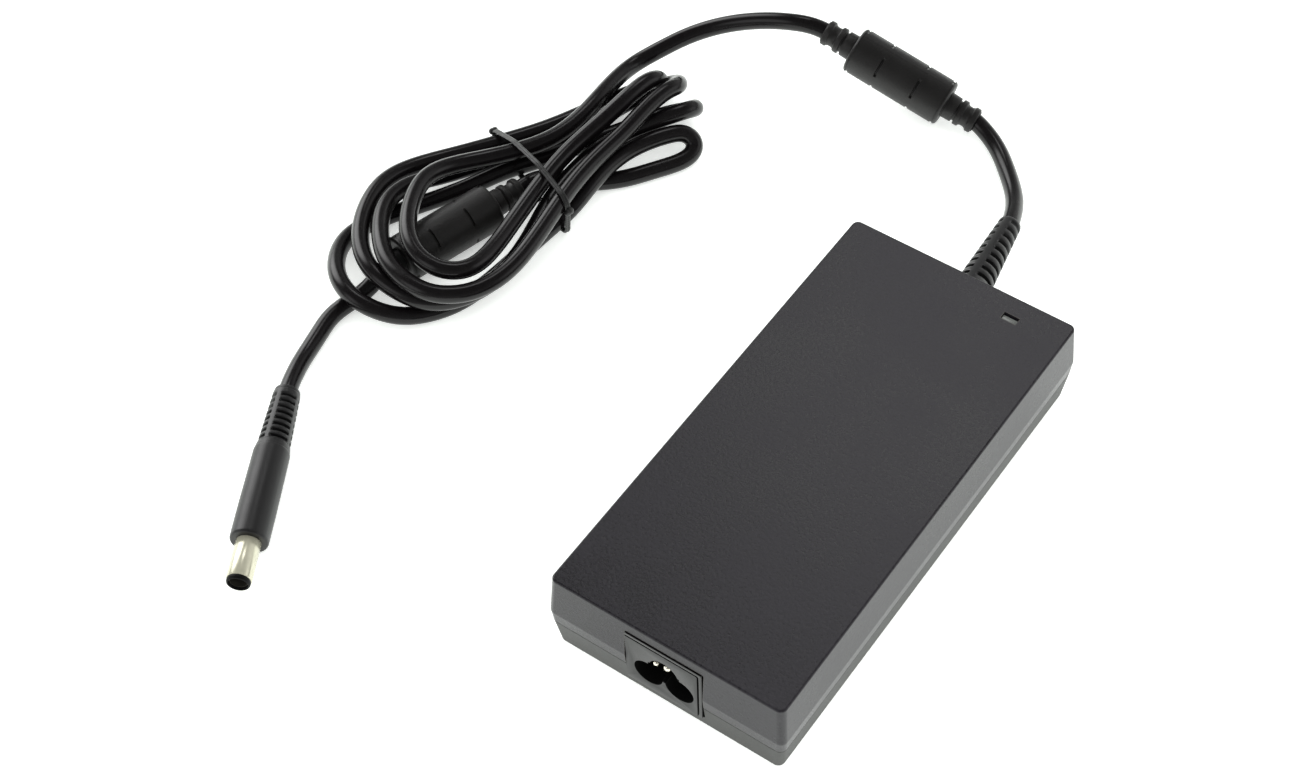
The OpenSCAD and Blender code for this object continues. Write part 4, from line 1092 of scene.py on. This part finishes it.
def tie_cord():
    """The loop: two cords side by side, drawn as one section with a waist."""
    section = []
    for k in range(CORD_SEGMENTS):
        a = 2 * math.pi * k / CORD_SEGMENTS
        w = CORD_HALF_WIDTH * math.cos(a)
        waist = 1 - 0.5 * math.exp(-(w / 0.2) ** 2)
        section.append((w, CORD_HALF_HEIGHT * math.sin(a) * waist))
    verts, faces = [], []
    for j in range(TIE_STATIONS):
        place, outward = tie_station(j)
        drift = 0.024 * math.sin(j * 0.9)
        swell = 1 + 0.05 * math.sin(2.2 * j)
        for w, h in section:
            verts.append(place + (w + drift) * COIL_AXIS + h * swell * outward)
        following = (j + 1) % TIE_STATIONS
        faces += band(j * CORD_SEGMENTS, following * CORD_SEGMENTS, CORD_SEGMENTS)
    tie = mesh_object("coil_tie_cord", verts, faces, "tie_elastic", sharp=60)
    register(tie, "tie", "cable_tie")


def knot(name, j, size):
    """Lumpy closed bead on the outside of the cord at station j."""
    place, outward = tie_station(j)
    outward = unit(outward)
    axis = COIL_AXIS * 0.9 + np.cross(outward, COIL_AXIS) * 0.44
    rows = []
    for k in range(13):
        a = math.pi * k / 12
        r = max(0.06, math.sin(a) * size) * (1 + 0.1 * math.cos(3 * a))
        rows.append((-math.cos(a) * size * 1.25, r))
    obj = revolve(name, rows, place + 0.55 * outward, axis, "tie_elastic", 36,
                  lambda t, a, r: r * (1 + 0.08 * math.sin(2 * a + 2.5 * t / size)), sharp=80)
    register(obj, "tie")


tie_cord()
tie_across, tie_height = tie_path.T
knot("coil_tie_knot_left", int(np.argmin(tie_across - 0.25 * tie_height)), size=1.35)
knot("coil_tie_knot_right", int(np.argmax(tie_across - 0.1 * tie_height)), size=1.3)

# ============================================================ stage
FLOOR_HALF, FLOOR_Z = 6000, -0.05
TENT_COLOR = (0.985, 1.0, 0.985, 1)

graph, inputs, coordinate = new_material("stage_floor")
paper = graph.noise(coordinate, size=30.0, detail=3.0, roughness=0.6)
graph.feed(inputs["Base Color"], graph.mix(paper, (0.92, 0.94, 0.92), (0.94, 0.96, 0.94)))
graph.feed(inputs["Emission Color"], TENT_COLOR)
graph.feed(inputs["Emission Strength"], 0.45)
graph.feed(inputs["Roughness"], 0.85)
graph.feed(inputs["Specular IOR Level"], 0.0)
floor_corners = [(x * FLOOR_HALF, y * FLOOR_HALF, FLOOR_Z)
                 for x, y in ((-1, -1), (1, -1), (1, 1), (-1, 1))]
mesh_object("stage_floor", floor_corners, [[0, 1, 2, 3]], "stage_floor")

# An overexposed light tent: diffuse light is bright, the reflected sky is dim and graded
world = bpy.data.worlds.new("studio")
bpy.context.scene.world = world
world.use_nodes = True
graph = Graph(world.node_tree)
tent = graph.add("Background")
graph.feed(tent.inputs["Strength"], 1.5)
graph.feed(tent.inputs["Color"], TENT_COLOR)
reflected = graph.add("Background")
switch = graph.add("MixShader")
graph.feed(switch.inputs[0], graph.add("LightPath").outputs["Is Glossy Ray"])
graph.feed(switch.inputs[1], tent.outputs[0])
graph.feed(switch.inputs[2], reflected.outputs[0])
graph.feed(graph.add("OutputWorld").inputs[0], switch.outputs[0])
sky_direction = graph.add("TexCoord").outputs["Generated"]


def patch(direction, cosines, strength):
    """Light towards direction, fading in between two cosines of the angle from it."""
    facing = graph.remap(graph.dot(sky_direction, direction), cosines, interpolation="SMOOTHSTEP")
    return graph.math("MULTIPLY", facing, strength)


base = patch((0, 0, -1), cosines=(-1.0, 0.15), strength=0.4)
panel = patch((-0.86, 0.22, 0.42), cosines=(0.89, 0.985), strength=5.4)
rim = patch((0.3, 0.95, 0.25), cosines=(0.80, 0.98), strength=0.5)
glow = patch((-0.27, 0.55, 0.79), cosines=(0.984, 0.9995), strength=4.8)
front_edge = patch((-0.37, -0.76, 0.46), cosines=(0.93, 0.99), strength=1.4)
side_edge = patch((0.77, 0.49, 0.35), cosines=(0.93, 0.99), strength=1.0)
AMBIENT = 0.12
edges = graph.math("ADD", graph.math("ADD", front_edge, side_edge), AMBIENT)
accents = graph.math("ADD", graph.math("ADD", rim, glow), edges)
total = graph.math("ADD", graph.math("ADD", base, panel), accents)
graph.feed(reflected.inputs["Strength"], total)

# ============================================================ camera
AZIMUTH, ELEVATION, ROLL = math.radians(37.18), math.radians(52.33), math.radians(-2.70)
DISTANCE_M, TARGET_M = 0.737, Vector((-0.0651, 0.0087, 0.0))     # metres
back = Vector((math.sin(AZIMUTH) * math.cos(ELEVATION),
               -math.cos(AZIMUTH) * math.cos(ELEVATION), math.sin(ELEVATION)))
level = Vector((math.cos(AZIMUTH), math.sin(AZIMUTH), 0))
upward = back.cross(level)
camera_x = math.cos(ROLL) * level + math.sin(ROLL) * upward
camera_y = -math.sin(ROLL) * level + math.cos(ROLL) * upward
camera_data = bpy.data.cameras.new("camera")
camera = bpy.data.objects.new("camera", camera_data)
scene = bpy.context.scene
scene.collection.objects.link(camera)
turned = Matrix((camera_x, camera_y, back)).transposed().to_4x4()
camera.matrix_world = Matrix.Translation(TARGET_M + DISTANCE_M * back) @ turned
camera_data.sensor_width = 36
camera_data.sensor_fit = "HORIZONTAL"
camera_data.lens = 68.87077
camera_data.clip_start, camera_data.clip_end = 0.01, 50
scene.camera = camera
scene.view_settings.view_transform = "Standard"
scene.view_settings.look = "None"
